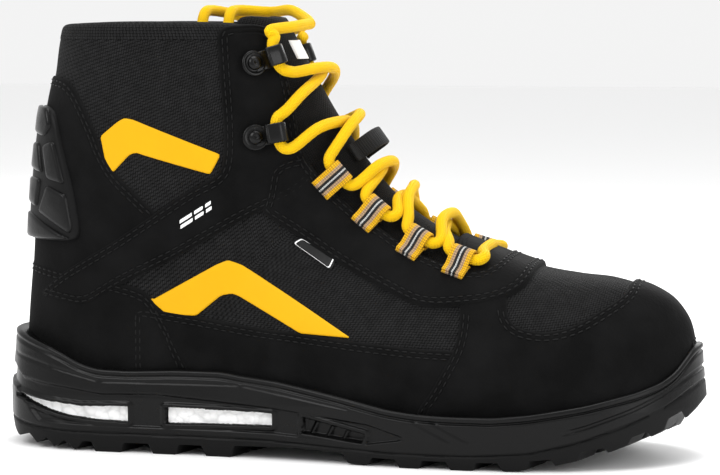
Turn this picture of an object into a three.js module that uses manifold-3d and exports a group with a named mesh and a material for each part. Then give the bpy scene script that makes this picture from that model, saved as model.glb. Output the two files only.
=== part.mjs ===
// A mid-height lace-up mountaineering and work boot, right foot.
// Millimetres. +X to the toe, +Z up, +Y to the inner (medial) side of the foot.
import * as THREE from 'three';
import Module from 'manifold-3d';

const wasm = await Module();
wasm.setup();

// ---- overall sizes ----
const LENGTH = 310;          // heel to toe over the sole
const HEIGHT = 189;          // ground to the top of the tongue
const WIDTH = 111;           // across the sole at the ball of the foot

// ---- layers of the upper, measured outward from the textile's outer face ----
const GAP = 0.3;             // air between neighbouring layers
const SEAM = 0.5;            // air between two panels that meet edge to edge
const TEXTILE = 1.2;
const LEATHER = 1.6;
const FILM = 0.6;
const GUARD = 2.4;           // moulded heel guard
const CAP = 2.0;             // toe cap and heel stiffener
const FOAM = 5.0;            // extra padding at the collar
const LINING = 1.2;
const TONGUE = 6.0;
const TONGUE_SWING = 4;      // degrees that the tongue can lean back

// ---- underfoot ----
const BOARD = 2.5;           // insole board
const FOOTBED = 5.0;
const FOOTBED_FIT = 0.9;     // room round the loose footbed
const SHANK = 1.6;
const SHANK_WIDTH = 24;
const TREAD_CHANNEL = 9;     // width of the channel down the middle of the tread
const WINDOW_RECESS = 3.0;
const CUP_FLOOR = 2.8;       // midsole left under the insole board at the toe
const TREAD_WRAP = 3.5;      // tread wall round the toe

// ---- lacing ----
const LACE = 5.0;            // lace diameter
const LACE_FIT = 0.6;        // room round the lace in a loop or hook
const WEBBING = 1.1;
const WEBBING_WIDTH = 10;
const LOOP_REACH = 5.6;      // loop centre beyond the facing edge
const HOOK_SHEET = 1.2;
const HOOK_WIDTH = 8.5;
const HOOK_PLATE = 5.6;      // radius of the riveted end
const HOOK_REACH = 9;        // rivet to lace
const RIVET = 3.0;
const TAIL_END = 20;         // aglet length
const AGLET = 5.8;           // aglet diameter
const BAND_WIDTH = 8.4;      // keeper band over the tongue
const BAND_SPAN = 17;
const BAND_HEIGHT = 12.5;
const BAND_SHEET = 1.4;
const BAND_ROUND = 4;        // rise of the arch's rounded top
const BAND_SEWN = 2.4;       // how far its feet reach into the tongue's curve

const kx = LENGTH / 310;
const ky = WIDTH / 111;
const kz = HEIGHT / 189;
const scaled = (pts) => pts.map(([x, z]) => [x * kx, z * kz]);

// ---- side view of the foot shape: ridge from tongue to toe, and heel line ----
const RIDGE = scaled([
  [-40, 222], [-33, 203], [-28, 188], [-21, 174], [-13, 159.5], [-5, 146], [8, 127], [23, 110],
  [36, 100.5], [50, 93], [66, 86.5], [82, 81], [100, 78], [115, 76.5], [127, 73.5], [137, 69],
  [144, 62], [147.5, 54], [148.5, 45], [149, 30], [149.3, 0], [149.5, -15],
]);
const HEEL = scaled([
  [-121, 222], [-125, 203], [-128, 188], [-131, 176], [-133, 163], [-136, 150], [-138.5, 136],
  [-140.5, 120], [-141.8, 106], [-142.8, 92], [-143.6, 79], [-144.6, 65], [-145.3, 50],
  [-145.5, 30], [-145.5, 0], [-145.5, -15], [-120, -15], [-60, -15], [0, -15], [60, -15],
  [120, -15], [149.5, -15],
]);
// half widths of the foot, by distance along it
const FOOT_X = [-146, -130, -110, -60, -20, 20, 50, 80, 110, 130, 142, 147, 149.5].map((x) => x * kx);
const FOOT_OUT = [30, 31.5, 33, 35.5, 40, 46, 48.5, 47.5, 41, 30.5, 19, 12, 8].map((y) => y * ky);
const FOOT_IN = [30, 31.5, 32.5, 33, 36, 42, 45.5, 45, 39, 29.5, 19, 12, 8].map((y) => y * ky);
// half widths of the shaft, by height
const SHAFT_Z = [60, 105, 150, 190, 230].map((z) => z * kz);
const SHAFT_Y = [36, 36.5, 38, 40, 42].map((y) => y * ky);

// ---- side view of the parts of the upper ----
const THROAT = scaled([
  [-40, 230], [-38, 200], [-35, 186], [-30, 177], [-25, 164], [-21, 150], [-18, 135], [-15, 127],
  [-9.5, 120], [-3.5, 113], [7, 104], [15, 99], [27, 91], [35, 87], [47, 82.5], [59, 79.5],
  [66, 82], [69.5, 87], [71, 100], [120, 160], [60, 260],
]);
const TONGUE_AREA = scaled([
  [-62, 240], [-56, 200], [-52, 186], [-47, 172], [-42, 157], [-37, 141], [-31, 127], [-22, 114],
  [-11, 103], [2, 94], [15, 87], [28, 80.5], [42, 75], [58, 72], [66, 75], [73, 90],
  [120, 160], [60, 260],
]);
const LACE_STAY = scaled([
  [-34, 105], [-32, 110], [-31, 115], [-30.5, 121], [-29, 124], [-26, 126.5], [-22, 128],
  [-17, 129], [-6, 140], [70, 150], [92, 100], [84, 86], [83, 78], [79.5, 73.5], [73, 70],
  [64, 67.7], [56, 67], [45, 66], [35, 67], [17, 75], [-1, 84], [-20, 96],
]);
const ANKLE = scaled([
  [-56, 230], [-52.5, 183], [-51, 166], [-49, 141], [-49, 129], [-50.5, 121], [-63, 115],
  [-78, 105], [-98, 92], [-124, 77], [-138, 66], [-112, 62], [-94, 73], [-71, 84], [-45, 99],
  [-34, 105], [-20, 112], [40, 200], [0, 240],
]);
const HEEL_COVER = scaled([
  [-170, 83], [-142, 80.5], [-122, 77.5], [-106, 75.5], [-89, 72], [-82, 69], [-76, 60],
  [-72, 52], [-65, 39], [-58, 10], [-58, -30], [-170, -30],
]);
const TOE_OVERLAY = scaled([
  [45, 100], [52, 75], [55, 66], [55, 57], [53, 49], [48, 40], [43, 31], [38, 25], [34, 10],
  [34, -30], [180, -30], [180, 120], [60, 120],
]);
const VAMP_WINDOW = scaled([
  [74, 90], [74, 68], [75, 63], [79, 59], [88, 57], [97, 58], [105, 61], [113, 66], [119, 69.5],
  [123, 73], [123, 90],
]);
const SIDE_RAND = scaled([
  [-90, 64], [-75, 62], [-58, 59.5], [-34, 56], [-11, 54], [9, 52], [33, 50], [60, 49],
  [60, -30], [-90, -30],
]);
const BACKSTAY = scaled([
  [-170, 163], [-132, 162.5], [-121, 161.5], [-115, 156], [-110, 147], [-106, 139], [-103, 131],
  [-97, 121], [-88, 113], [-76, 104], [-90, 80], [-124, 60], [-170, 60],
]);
const GUARD_AREA = scaled([
  [-170, 149.5], [-128, 149], [-124.5, 142], [-123, 135], [-118, 118], [-116, 110], [-113.5, 96],
  [-115, 91], [-170, 89.5],
]);
const UPPER_ACCENT = scaled([
  [-103.5, 137], [-95, 143.5], [-92, 145], [-88, 144.3], [-51.5, 129], [-52.5, 124], [-55, 120.5],
  [-84, 129], [-87, 130], [-90, 129], [-96, 123],
]);
const LOWER_ACCENT = scaled([
  [-80, 67], [-52, 82.5], [-47, 84.5], [-41, 82.5], [7, 54], [-14, 56], [-42, 69], [-45, 70],
  [-50, 69], [-61, 61.5], [-74, 64],
]);
const SIDE_TAG = scaled([[-19, 92.5], [-16, 94], [1, 85], [-1, 80.5]]);
const COLLAR_TOP = scaled([
  [-170, 184.5], [-100, 184.5], [-60, 184.5], [-50, 186], [-20, 186.5], [0, 186.5], [200, 186.5],
  [200, -60], [-170, -60],
]);

// ---- sole, seen from the side ----
const FLOOR = scaled([
  [-170, 27], [-145, 27], [-100, 26.5], [-60, 25.2], [-25, 23], [0, 18.8], [25, 14.8], [50, 13],
  [75, 12.8], [95, 14.2], [120, 18.5], [145, 25], [170, 32],
]);
const RIM_LINE = scaled([
  [-170, 51], [-150, 50.5], [-144, 49], [-137, 47], [-129, 45], [-121, 42], [-114, 38.5],
  [-105, 36.3], [-91, 36], [-70, 37], [-49, 37], [-41, 35.7], [-24, 34], [-7, 31], [9, 28],
  [25, 24.6], [37, 23.2], [50, 22.6], [70, 22.6], [85, 24], [108, 27.6], [130, 32.5], [140, 36],
  [147, 41], [151, 47], [155, 50.5], [170, 51],
]);
const TREAD_TOP = scaled([
  [-170, 15], [-150, 13], [-138, 10.8], [-120, 9.5], [-60, 9.5], [-30, 9.5], [0, 8.2], [30, 7],
  [60, 7], [86, 8.8], [108, 14], [128, 21], [142, 27.5], [150, 33], [170, 43],
]);
const TREAD_BOTTOM = scaled([
  [-170, 12], [-155, 10], [-146, 4], [-139, 6], [-135, 2], [-130, 5], [-126, 1.2], [-121, 4.4],
  [-116, 0.3], [-112, 4.4], [-108, 4.4], [-106.5, 0], [-95, 0], [-93, 4.4], [-82, 4.4], [-80, 0],
  [-70, 0], [-68, 4.6], [-58, 4.6], [-56, 0], [-45, 0], [-43, 5.2], [-18, 5.8], [6, 5],
  [8, 0.8], [17, 0.6], [19, 3.8], [29, 3.6], [31, 0], [39, 0], [41, 3.6], [51, 3.6], [53, 0],
  [62, 0], [64, 3.6], [73, 3.8], [75, 0.3], [84, 1], [86, 4.8], [95, 5.6], [97, 3], [105, 4.6],
  [107, 8.6], [116, 10], [118, 8], [125, 10.5], [127, 14], [133, 16], [134.5, 13.6],
  [139.5, 16.2], [141, 20.5], [146, 23], [147.5, 19.8], [151, 23], [170, 44],
]);
const TREAD_CHANNEL_TOP = scaled([
  [-128, -5], [-128, 4.4], [-50, 4.4], [10, 4.4], [60, 3.8], [85, 5], [110, 9.5], [125, 13.5],
  [125, -5],
]);
const CORE = scaled([
  [-140, 23.6], [-100, 23], [-74, 22.3], [-60, 21.8], [-26, 20.1], [-22, 18], [-22, 12.6],
  [-100, 12.6], [-128, 14], [-140, 18],
]);
const WINDOWS = [
  scaled([[-146, 23.5], [-133, 21.5], [-113, 19.7], [-91, 20.4], [-91, 13.6], [-105, 13.9],
    [-119, 15.2], [-130, 17.5], [-146, 22]]),
  scaled([[-74, 20.6], [-26, 20], [-26, 14.6], [-74, 13.6]]),
];
const BLIND_WINDOW = scaled([[-12, 19.4], [16, 13.6], [14.5, 9.6], [-12.5, 12.4]]);
const SHANK_ENDS = scaled([[-75, 0], [18, 0]]);
// sole seen from below, heel round to the toe on the outer side, and back on the inner side
const SOLE_PLAN = [
  [-155, 0], [-152, -14], [-145, -26.5], [-130, -35.5], [-110, -39], [-80, -40.5], [-45, -42.5],
  [-10, -47.5], [25, -53.5], [55, -55.5], [85, -54.5], [110, -47.5], [130, -37], [144, -24],
  [152.5, -10], [155, 2], [152, 14], [144, 26], [130, 36.5], [110, 45.5], [85, 52], [55, 55.5],
  [25, 51], [-10, 43], [-45, 38.5], [-80, 37.5], [-110, 37.5], [-130, 34.5], [-145, 26],
  [-152, 14],
].map(([x, y]) => [x * kx, y * ky]);

// ---- fittings on the facings ----
const HOOK_SPOTS = scaled([[-31.5, 170], [-28, 138]]);
const LOOP_SPOTS = scaled([[-6.5, 116.5], [11, 101.5], [31, 89], [51.5, 81.2]]);
// where the lace crosses the ridge, from the top down, and where the keeper band stands
const CROSSINGS = scaled([[-15, 162.5], [-2.5, 142], [12.5, 121.5], [23, 110], [41, 97.5], [61, 88.5]]);
const TOP_CROSSING = scaled([[-25, 182]])[0];
const BAND_SPOT = scaled([[5, 131]])[0];
// free ends of the lace: over the inner side of the collar, then down inside the shaft
const TAIL_DROP = [[-61, 20], [-73, 20]].map(([x, y]) => [x * kx, y * ky]);
const TAIL_BOTTOM = 106 * kz;
const COLLAR_Z = 184.5 * kz;

// ---------------------------------------------------------------- helpers
const clamp = (t, lo, hi) => Math.min(hi, Math.max(lo, t));
const smooth = (t) => {
  const c = clamp(t, 0, 1);
  return c * c * (3 - 2 * c);
};

// shape-preserving curve through points given by rising x
function curve(xs, ys) {
  const n = xs.length;
  const h = xs.slice(1).map((x, i) => x - xs[i]);
  const d = h.map((step, i) => (ys[i + 1] - ys[i]) / step);
  const m = new Array(n).fill(0);
  for (let i = 1; i < n - 1; i += 1) {
    if (d[i - 1] * d[i] > 0) {
      const w1 = 2 * h[i] + h[i - 1];
      const w2 = h[i] + 2 * h[i - 1];
      m[i] = (w1 + w2) / (w1 / d[i - 1] + w2 / d[i]);
    }
  }
  m[0] = d[0];
  m[n - 1] = d[n - 2];
  return (x) => {
    const c = clamp(x, xs[0], xs[n - 1]);
    let i = 0;
    while (i < n - 2 && c > xs[i + 1]) i += 1;
    const t = (c - xs[i]) / h[i];
    const a = ys[i] * (1 + 2 * t) * (1 - t) ** 2 + h[i] * m[i] * t * (1 - t) ** 2;
    return a + ys[i + 1] * t * t * (3 - 2 * t) + h[i] * m[i + 1] * t * t * (t - 1);
  };
}

// ---------------------------------------------------------------- foot shape
// Sections fan out from a line above the toe; each runs from the ridge to the heel line.
const PIVOT = [150 * kx, 250 * kz];
const angleOf = ([x, z]) => Math.atan2(z - PIVOT[1], x - PIVOT[0]);
const reachOf = ([x, z]) => Math.hypot(z - PIVOT[1], x - PIVOT[0]);
const ridgeReach = curve(RIDGE.map(angleOf), RIDGE.map(reachOf));
const heelReach = curve(HEEL.map(angleOf), HEEL.map(reachOf));
const footOut = curve(FOOT_X, FOOT_OUT);
const footIn = curve(FOOT_X, FOOT_IN);
const shaftHalf = curve(SHAFT_Z, SHAFT_Y);

// turn is 0 on the ridge and pi on the heel line; side is -1 outer, +1 inner
function footPoint(angle, turn, side) {
  const near = ridgeReach(angle);
  const reach = near + (heelReach(angle) - near) * (1 - Math.cos(turn)) / 2;
  const x = PIVOT[0] + reach * Math.cos(angle);
  const z = PIVOT[1] + reach * Math.sin(angle);
  const high = smooth((z / kz - 45) / 65) * smooth((75 - x / kx) / 75);
  const domed = smooth((z / kz - 40) / 50) * smooth((78 - x / kx) / 50);
  const foot = side < 0 ? footOut(x) : footIn(x);
  const half = foot * (1 - high) + shaftHalf(z) * high;
  const power = 0.66 + 0.28 * domed;
  return new THREE.Vector3(x, side * half * Math.abs(Math.sin(turn)) ** power, z);
}

function footNormal(angle, turn, side) {
  const e = 0.02;
  const t = clamp(turn, 0.03, Math.PI - 0.03);
  const a = clamp(angle, FIRST + e, LAST - 0.004);
  const step = Math.min(e, (LAST - a) / 2);
  const da = footPoint(a + step, t, side).sub(footPoint(a - step, t, side));
  const dt = footPoint(a, t + e, side).sub(footPoint(a, t - e, side));
  const n = da.cross(dt).normalize().multiplyScalar(side);
  if (turn < 0.03 || turn > Math.PI - 0.03) n.y = 0;
  return n.normalize();
}

const FIRST = Math.atan2(-42 * kz, -287 * kx);
const LAST = Math.atan2(-265 * kz, -0.6 * kx);
const SECTIONS = 15;
const TURNS = 8;

// even steps along the boot, then closer ones round the toe
function sectionAngles() {
  const toe = [34, 24, 16, 10, 5.5, 2.4].map((x) => Math.atan2(-220 * kz, -x * kx));
  const even = Array.from({ length: SECTIONS }, (_, i) => FIRST + (toe[0] - FIRST) * i / SECTIONS);
  return [...even, ...toe];
}

const ANGLES = sectionAngles();
const TURN_LIST = Array.from({ length: TURNS + 1 }, (_, i) => {
  const v = i / TURNS;
  return Math.PI * (v - 0.55 * Math.sin(2 * Math.PI * v) / (2 * Math.PI));
});

// closed body of the foot shape, moved out along its normals by a height-dependent amount
function footBody(offset) {
  const amount = typeof offset === 'function' ? offset : () => offset;
  const at = (angle, turn, side) => {
    const p = footPoint(angle, turn, side);
    return p.addScaledVector(footNormal(angle, turn, side), amount(p.x, p.z));
  };
  const rings = ANGLES.map((angle) => {
    const ring = TURN_LIST.map((turn) => at(angle, turn, -1));
    for (let i = TURNS - 1; i > 0; i -= 1) ring.push(at(angle, TURN_LIST[i], 1));
    return ring;
  });
  return solidFromRings(rings);
}

// closed solid through a stack of equal rings, with flat fans over both ends
function solidFromRings(rings) {
  const n = rings[0].length;
  const verts = [];
  const tris = [];
  for (const ring of rings) for (const p of ring) verts.push(p.x, p.y, p.z);
  for (let i = 0; i + 1 < rings.length; i += 1) {
    for (let j = 0; j < n; j += 1) {
      const a = i * n + j;
      const b = i * n + (j + 1) % n;
      tris.push(a, b, a + n, b, b + n, a + n);
    }
  }
  for (const end of [0, rings.length - 1]) {
    const c = new THREE.Vector3();
    for (const p of rings[end]) c.addScaledVector(p, 1 / n);
    const centre = verts.length / 3;
    verts.push(c.x, c.y, c.z);
    for (let j = 0; j < n; j += 1) {
      const a = end * n + j;
      const b = end * n + (j + 1) % n;
      if (end === 0) tris.push(centre, b, a);
      else tris.push(centre, a, b);
    }
  }
  const solid = new wasm.Manifold(new wasm.Mesh({
    numProp: 3, vertProperties: new Float32Array(verts), triVerts: new Uint32Array(tris),
  }));
  if (solid.volume() > 0) return solid;
  for (let k = 0; k < tris.length; k += 3) [tris[k], tris[k + 1]] = [tris[k + 1], tris[k]];
  return new wasm.Manifold(new wasm.Mesh({
    numProp: 3, vertProperties: new Float32Array(verts), triVerts: new Uint32Array(tris),
  }));
}

// solid from any closed three.js geometry
function solidOf(geometry) {
  const source = geometry.index ? geometry.toNonIndexed() : geometry;
  const pos = source.attributes.position;
  const seen = new Map();
  const verts = [];
  const tris = [];
  for (let i = 0; i < pos.count; i += 1) {
    const key = [pos.getX(i), pos.getY(i), pos.getZ(i)].map((v) => Math.round(v * 1e4)).join();
    if (!seen.has(key)) {
      seen.set(key, verts.length / 3);
      verts.push(pos.getX(i), pos.getY(i), pos.getZ(i));
    }
    tris.push(seen.get(key));
  }
  const kept = [];
  for (let k = 0; k < tris.length; k += 3) {
    const [a, b, c] = tris.slice(k, k + 3);
    if (a !== b && b !== c && a !== c) kept.push(a, b, c);
  }
  return new wasm.Manifold(new wasm.Mesh({
    numProp: 3, vertProperties: new Float32Array(verts), triVerts: new Uint32Array(kept),
  }));
}

// prism with a side-view outline, running across the boot between two widths
function prism(outline, from = -100, to = 100) {
  const shape = new THREE.Shape(outline.map(([x, z]) => new THREE.Vector2(x, z)));
  const g = new THREE.ExtrudeGeometry(shape, { depth: to - from, bevelEnabled: false });
  g.rotateX(Math.PI / 2);
  g.translate(0, to, 0);
  return solidOf(g);
}

const above = (line, lift) => prism([
  ...line.map(([x, z]) => [x, z + lift]), [line.at(-1)[0], 300], [line[0][0], 300],
]);
const below = (line, lift) => prism([
  ...line.map(([x, z]) => [x, z + lift]), [line.at(-1)[0], -80], [line[0][0], -80],
]);

// outline moved outward all round
function grown(outline, by) {
  const area = THREE.ShapeUtils.area(outline.map(([x, z]) => new THREE.Vector2(x, z)));
  const sign = Math.sign(area);
  const n = outline.length;
  return outline.map(([x, z], i) => {
    const [ax, az] = outline[(i + n - 1) % n];
    const [bx, bz] = outline[(i + 1) % n];
    const u = new THREE.Vector2(x - ax, z - az).normalize();
    const v = new THREE.Vector2(bx - x, bz - z).normalize();
    const m = new THREE.Vector2(u.y + v.y, -(u.x + v.x)).normalize();
    const miter = by / Math.max(0.5, m.dot(new THREE.Vector2(u.y, -u.x)));
    return [x + sign * m.x * miter, z + sign * m.y * miter];
  });
}

const group = new THREE.Group();
group.name = 'boot';
const material = (name, colour, roughness, metalness = 0) => {
  const m = new THREE.MeshStandardMaterial({ color: colour, roughness, metalness });
  m.name = name;
  return m;
};
const leather = material('leather', 0x191919, 0.8);
const textile = material('textile', 0x202022, 0.9);
const liner = material('lining', 0x2b2b2d, 0.95);
const foam = material('foam', 0x3a3a3a, 1);
const film = material('accent_film', 0xf5c400, 0.6);
const guardPlastic = material('guard_plastic', 0x242424, 0.45);
const soleFoam = material('sole_foam', 0x1c1c1c, 0.55);
const rubber = material('rubber', 0x161616, 0.7);
const beads = material('bead_foam', 0xeeeeee, 0.8);
const composite = material('composite', 0x555555, 0.5);
const board = material('board', 0xb8b2a0, 0.9);
const hookSteel = material('painted_steel', 0x111111, 0.35, 0.6);
const laceYarn = material('lace_yarn', 0xf2b91e, 0.8);
const webbing = material('webbing', 0xd8c060, 0.8);
const plastic = material('plastic', 0x101010, 0.4);

function add(name, solid, mat) {
  const mesh = solid.getMesh();
  const g = new THREE.BufferGeometry();
  const stride = mesh.numProp;
  const pos = new Float32Array(mesh.vertProperties.length / stride * 3);
  for (let i = 0; i < pos.length / 3; i += 1) {
    for (let k = 0; k < 3; k += 1) pos[3 * i + k] = mesh.vertProperties[i * stride + k];
  }
  g.setAttribute('position', new THREE.BufferAttribute(pos, 3));
  g.setIndex(new THREE.BufferAttribute(new Uint32Array(mesh.triVerts), 1));
  const flat = g.toNonIndexed();
  flat.computeVertexNormals();
  const node = new THREE.Mesh(flat, mat);
  node.name = name;
  group.add(node);
}

// the largest piece of a solid, dropping slivers left where outlines graze
function main(solid) {
  const parts = solid.decompose();
  return parts.reduce((best, p) => (p.volume() > best.volume() ? p : best), parts[0]);
}

// ---------------------------------------------------------------- layers
const liningDepth = (x, z) => -(TEXTILE + 2 * GAP + CAP + 0.5) - FOAM * smooth((z / kz - 116) / 30);
const leatherTop = GAP + LEATHER;
const skin = footBody(0);
const overlayIn = footBody(GAP);
const overlayOut = footBody(leatherTop);
const upperClear = footBody(leatherTop + GAP);
const textileIn = footBody(-TEXTILE);
const stiffOut = footBody(-TEXTILE - GAP);
const stiffIn = footBody(-TEXTILE - GAP - CAP);
const liningOut = footBody(liningDepth);
const liningIn = footBody((x, z) => liningDepth(x, z) - LINING);
const foamIn = footBody((x, z) => liningDepth(x, z) + GAP);

const throat = prism(THROAT);
const collar = prism(COLLAR_TOP);
const overFloor = above(FLOOR, GAP);
const overBoard = above(FLOOR, 2 * GAP + BOARD);
const trim = (solid) => solid.intersect(collar).intersect(overFloor);

const overlay = trim(overlayOut.subtract(overlayIn));
const base = trim(skin.subtract(textileIn)).subtract(throat);
const outer = (outline) => prism(outline, -100, -0.25);
const inner = (outline) => prism(outline, 0.25, 100);

// ---------------------------------------------------------------- sole
function planRing(inset, z) {
  return grown(SOLE_PLAN, -inset).map(([x, y]) => new THREE.Vector3(x, y, z));
}
// sole outline with its flare: levels are [inset, height]
const soleBlock = (levels, extra = 0) => solidFromRings(
  levels.map(([inset, z]) => planRing(inset + extra, z * kz)),
);
const SIDE = [[2.6, -2], [1.4, 4], [0.2, 12], [0, 24], [1.0, 34], [1.8, 42], [2.4, 54], [2.4, 60]];

const wellAboveFloor = upperClear.intersect(above(FLOOR, 0));
const pocket = soleBlock(SIDE, 6.5 - GAP).intersect(prism(grown(CORE, GAP)));
// the tread wraps up round the toe, outside the midsole
const cupUnder = soleBlock(SIDE, TREAD_WRAP + GAP).intersect(above(FLOOR, GAP - CUP_FLOOR));
let midsole = soleBlock(SIDE).intersect(above(TREAD_TOP, GAP)).add(cupUnder).intersect(below(RIM_LINE, 0));
const rimGroove = soleBlock(SIDE, -5).subtract(soleBlock(SIDE, 0.9))
  .intersect(below(RIM_LINE, -2.2)).intersect(above(RIM_LINE, -3.6));
// the shank lies in a slot in the midsole's floor, right under the insole board
const shankBar = (ends, depth, lift, half) => prism([
  [SHANK_ENDS[0][0] - ends, -80], [SHANK_ENDS[1][0] + ends, -80],
  [SHANK_ENDS[1][0] + ends, 90], [SHANK_ENDS[0][0] - ends, 90],
], -half, half).intersect(above(FLOOR, -depth)).intersect(below(FLOOR, lift));
const shankSlot = shankBar(GAP, SHANK + GAP, 3, SHANK_WIDTH / 2 + GAP);
midsole = midsole.subtract(wellAboveFloor).subtract(pocket).subtract(rimGroove).subtract(shankSlot);
for (const w of WINDOWS) midsole = midsole.subtract(prism(w));
const blind = soleBlock(SIDE, -5).subtract(soleBlock(SIDE, WINDOW_RECESS)).intersect(prism(BLIND_WINDOW));
midsole = midsole.subtract(blind);
add('midsole', main(midsole), soleFoam);

let outsole = soleBlock(SIDE).intersect(below(TREAD_TOP, 0)).intersect(above(TREAD_BOTTOM, 0));
outsole = outsole.subtract(soleBlock(SIDE, TREAD_WRAP).intersect(above(FLOOR, -CUP_FLOOR)));
outsole = outsole.subtract(wellAboveFloor);
outsole = outsole.subtract(prism(TREAD_CHANNEL_TOP, -TREAD_CHANNEL / 2, TREAD_CHANNEL / 2));
add('outsole', main(outsole), rubber);

add('energy_core', main(soleBlock(SIDE, 6.5).intersect(prism(CORE))), beads);
add('torsion_shank', shankBar(0, SHANK, 0, SHANK_WIDTH / 2), composite);

const boardBlock = footBody(-TEXTILE - GAP).intersect(above(FLOOR, GAP))
  .intersect(below(FLOOR, GAP + BOARD));
add('insole_board', main(boardBlock), board);
const footbedBlock = footBody((x, z) => liningDepth(x, z) - LINING - FOOTBED_FIT)
  .intersect(above(FLOOR, 2 * GAP + BOARD)).intersect(below(FLOOR, 2 * GAP + BOARD + FOOTBED));
add('footbed', main(footbedBlock), foam);

// ---------------------------------------------------------------- inner layers
// the lining and foam stop short of the tongue's edge, so that it can lean back on its foot
const TONGUE_HINGE = [70 * kx, 84 * kz];
const leaned = (outline, degrees) => outline.map(([x, z]) => {
  const p = new THREE.Vector2(x, z);
  p.rotateAround(new THREE.Vector2(...TONGUE_HINGE), degrees * Math.PI / 180);
  return [p.x, p.y];
});
const tongueClear = prism(grown(TONGUE_AREA, SEAM))
  .add(prism(grown(leaned(TONGUE_AREA, TONGUE_SWING / 2), SEAM)))
  .add(prism(grown(leaned(TONGUE_AREA, TONGUE_SWING + 0.3), SEAM)));
const lining = liningOut.subtract(liningIn).intersect(collar).intersect(overBoard).subtract(tongueClear);
add('lining', main(lining), liner);

const CAP_AREA = scaled([[97, -30], [100, 40], [92, 60], [90, 120], [180, 120], [180, -30]]);
const STIFFENER_AREA = scaled([
  [-170, 70], [-120, 68], [-90, 60], [-70, 46], [-62, 40], [-62, 30], [-170, 30],
]);
const stiffLayer = stiffOut.subtract(stiffIn).intersect(overBoard);
add('toe_cap', main(stiffLayer.intersect(prism(CAP_AREA))), composite);
add('heel_stiffener', main(stiffLayer.intersect(prism(STIFFENER_AREA))), composite);

const FOAM_AREA = scaled([[-170, 112], [40, 112], [40, 182], [-170, 182]]);
const collarFoam = stiffOut.subtract(foamIn).intersect(prism(FOAM_AREA)).subtract(tongueClear);
add('collar_foam', main(collarFoam), foam);

// ---------------------------------------------------------------- textile base
const JOIN_X = 72 * kx;
const VAMP_BASE = [[JOIN_X + SEAM, -40], [JOIN_X + SEAM, 140], [180 * kx, 140], [180 * kx, -40]];
const QUARTER = scaled([
  [-170, 71], [-124, 71], [-94, 84], [-71, 95], [-45, 109], [-30, 117], [-10, 130], [50, 140],
]).concat([[JOIN_X, 140], [JOIN_X, -40], [-170 * kx, -40]]);
const SHAFT = scaled([
  [-170, 71], [-124, 71], [-94, 84], [-71, 95], [-45, 109], [-30, 117], [-10, 130], [50, 140],
  [50, 260], [-170, 260],
]);
add('vamp_textile', main(base.intersect(prism(VAMP_BASE))), textile);
add('quarter_textile_outer', main(base.intersect(outer(QUARTER))), textile);
add('quarter_textile_inner', main(base.intersect(inner(QUARTER))), textile);
const shaftOnly = prism(SHAFT).subtract(prism(grown(QUARTER, SEAM)));
add('shaft_textile', main(base.intersect(shaftOnly)), textile);

// ---------------------------------------------------------------- leather overlays
const grownPrism = (outline) => prism(grown(outline, SEAM));
const clearStay = grownPrism(LACE_STAY);
const clearHeel = grownPrism(HEEL_COVER);
const clearToe = grownPrism(TOE_OVERLAY);
const clearAnkle = grownPrism(ANKLE);
const clearBack = grownPrism(BACKSTAY);
const clearRand = grownPrism(SIDE_RAND);

add('lace_stay', main(overlay.intersect(prism(LACE_STAY)).subtract(throat)), leather);
const toeOnly = overlay.intersect(prism(TOE_OVERLAY)).subtract(clearStay);
add('toe_overlay', main(toeOnly.subtract(prism(VAMP_WINDOW))), leather);
add('heel_cover', main(overlay.intersect(prism(HEEL_COVER))), leather);
for (const [name, half] of [['outer', outer], ['inner', inner]]) {
  const ankle = overlay.intersect(half(ANKLE)).subtract(throat).subtract(clearStay).subtract(clearHeel);
  add(`ankle_panel_${name}`, main(ankle), leather);
  const rand = overlay.intersect(half(SIDE_RAND)).subtract(clearHeel).subtract(clearToe);
  add(`rand_${name}`, main(rand), leather);
}
add('backstay', main(overlay.intersect(prism(BACKSTAY)).subtract(clearAnkle).subtract(clearHeel)), leather);

const guardShell = footBody(leatherTop + GAP + GUARD).subtract(upperClear);
add('heel_guard', main(guardShell.intersect(prism(GUARD_AREA))), guardPlastic);

const filmShell = footBody(GAP + FILM).subtract(overlayIn);
for (const [name, half] of [['outer', outer], ['inner', inner]]) {
  const upper = filmShell.intersect(half(UPPER_ACCENT)).subtract(clearAnkle).subtract(clearBack);
  add(`accent_upper_${name}`, main(upper), film);
  const lower = filmShell.intersect(half(LOWER_ACCENT)).subtract(clearRand)
    .subtract(clearAnkle).subtract(clearHeel);
  add(`accent_lower_${name}`, main(lower), film);
}
add('side_tag', main(filmShell.intersect(outer(SIDE_TAG)).subtract(clearStay)), plastic);

// ---------------------------------------------------------------- tongue
const tongueShell = footBody(-TEXTILE - SEAM).subtract(footBody(-TEXTILE - SEAM - TONGUE));
const TONGUE_TOP = scaled([[-170, 185.5], [-50, 187], [-40, 189], [200, 189], [200, -60], [-170, -60]]);
const tongue = tongueShell.intersect(prism(TONGUE_AREA)).intersect(prism(TONGUE_TOP));
add('tongue', main(tongue), textile);

// ---------------------------------------------------------------- fittings
function turnAt([x, z]) {
  const angle = angleOf([x, z]);
  const near = ridgeReach(angle);
  const share = clamp((reachOf([x, z]) - near) / (heelReach(angle) - near), 0, 1);
  return [angle, Math.acos(1 - 2 * share)];
}

// frame on the surface at a side-view spot: f runs to the throat, u up the facing edge, n outward
function seatAt(spot, side) {
  const [angle, turn] = turnAt(spot);
  const p = footPoint(angle, turn, side);
  const n = footNormal(angle, turn, side);
  const d = 2;
  const [ua, ut] = turnAt([spot[0] - d * spot.slope[0], spot[1] + d * spot.slope[1]]);
  const u = footPoint(ua, ut, side).sub(p);
  u.addScaledVector(n, -u.dot(n)).normalize();
  const f = new THREE.Vector3().crossVectors(u, n).normalize();
  if (f.y * side > 0) f.negate();
  return { p, n, u, f };
}

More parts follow.
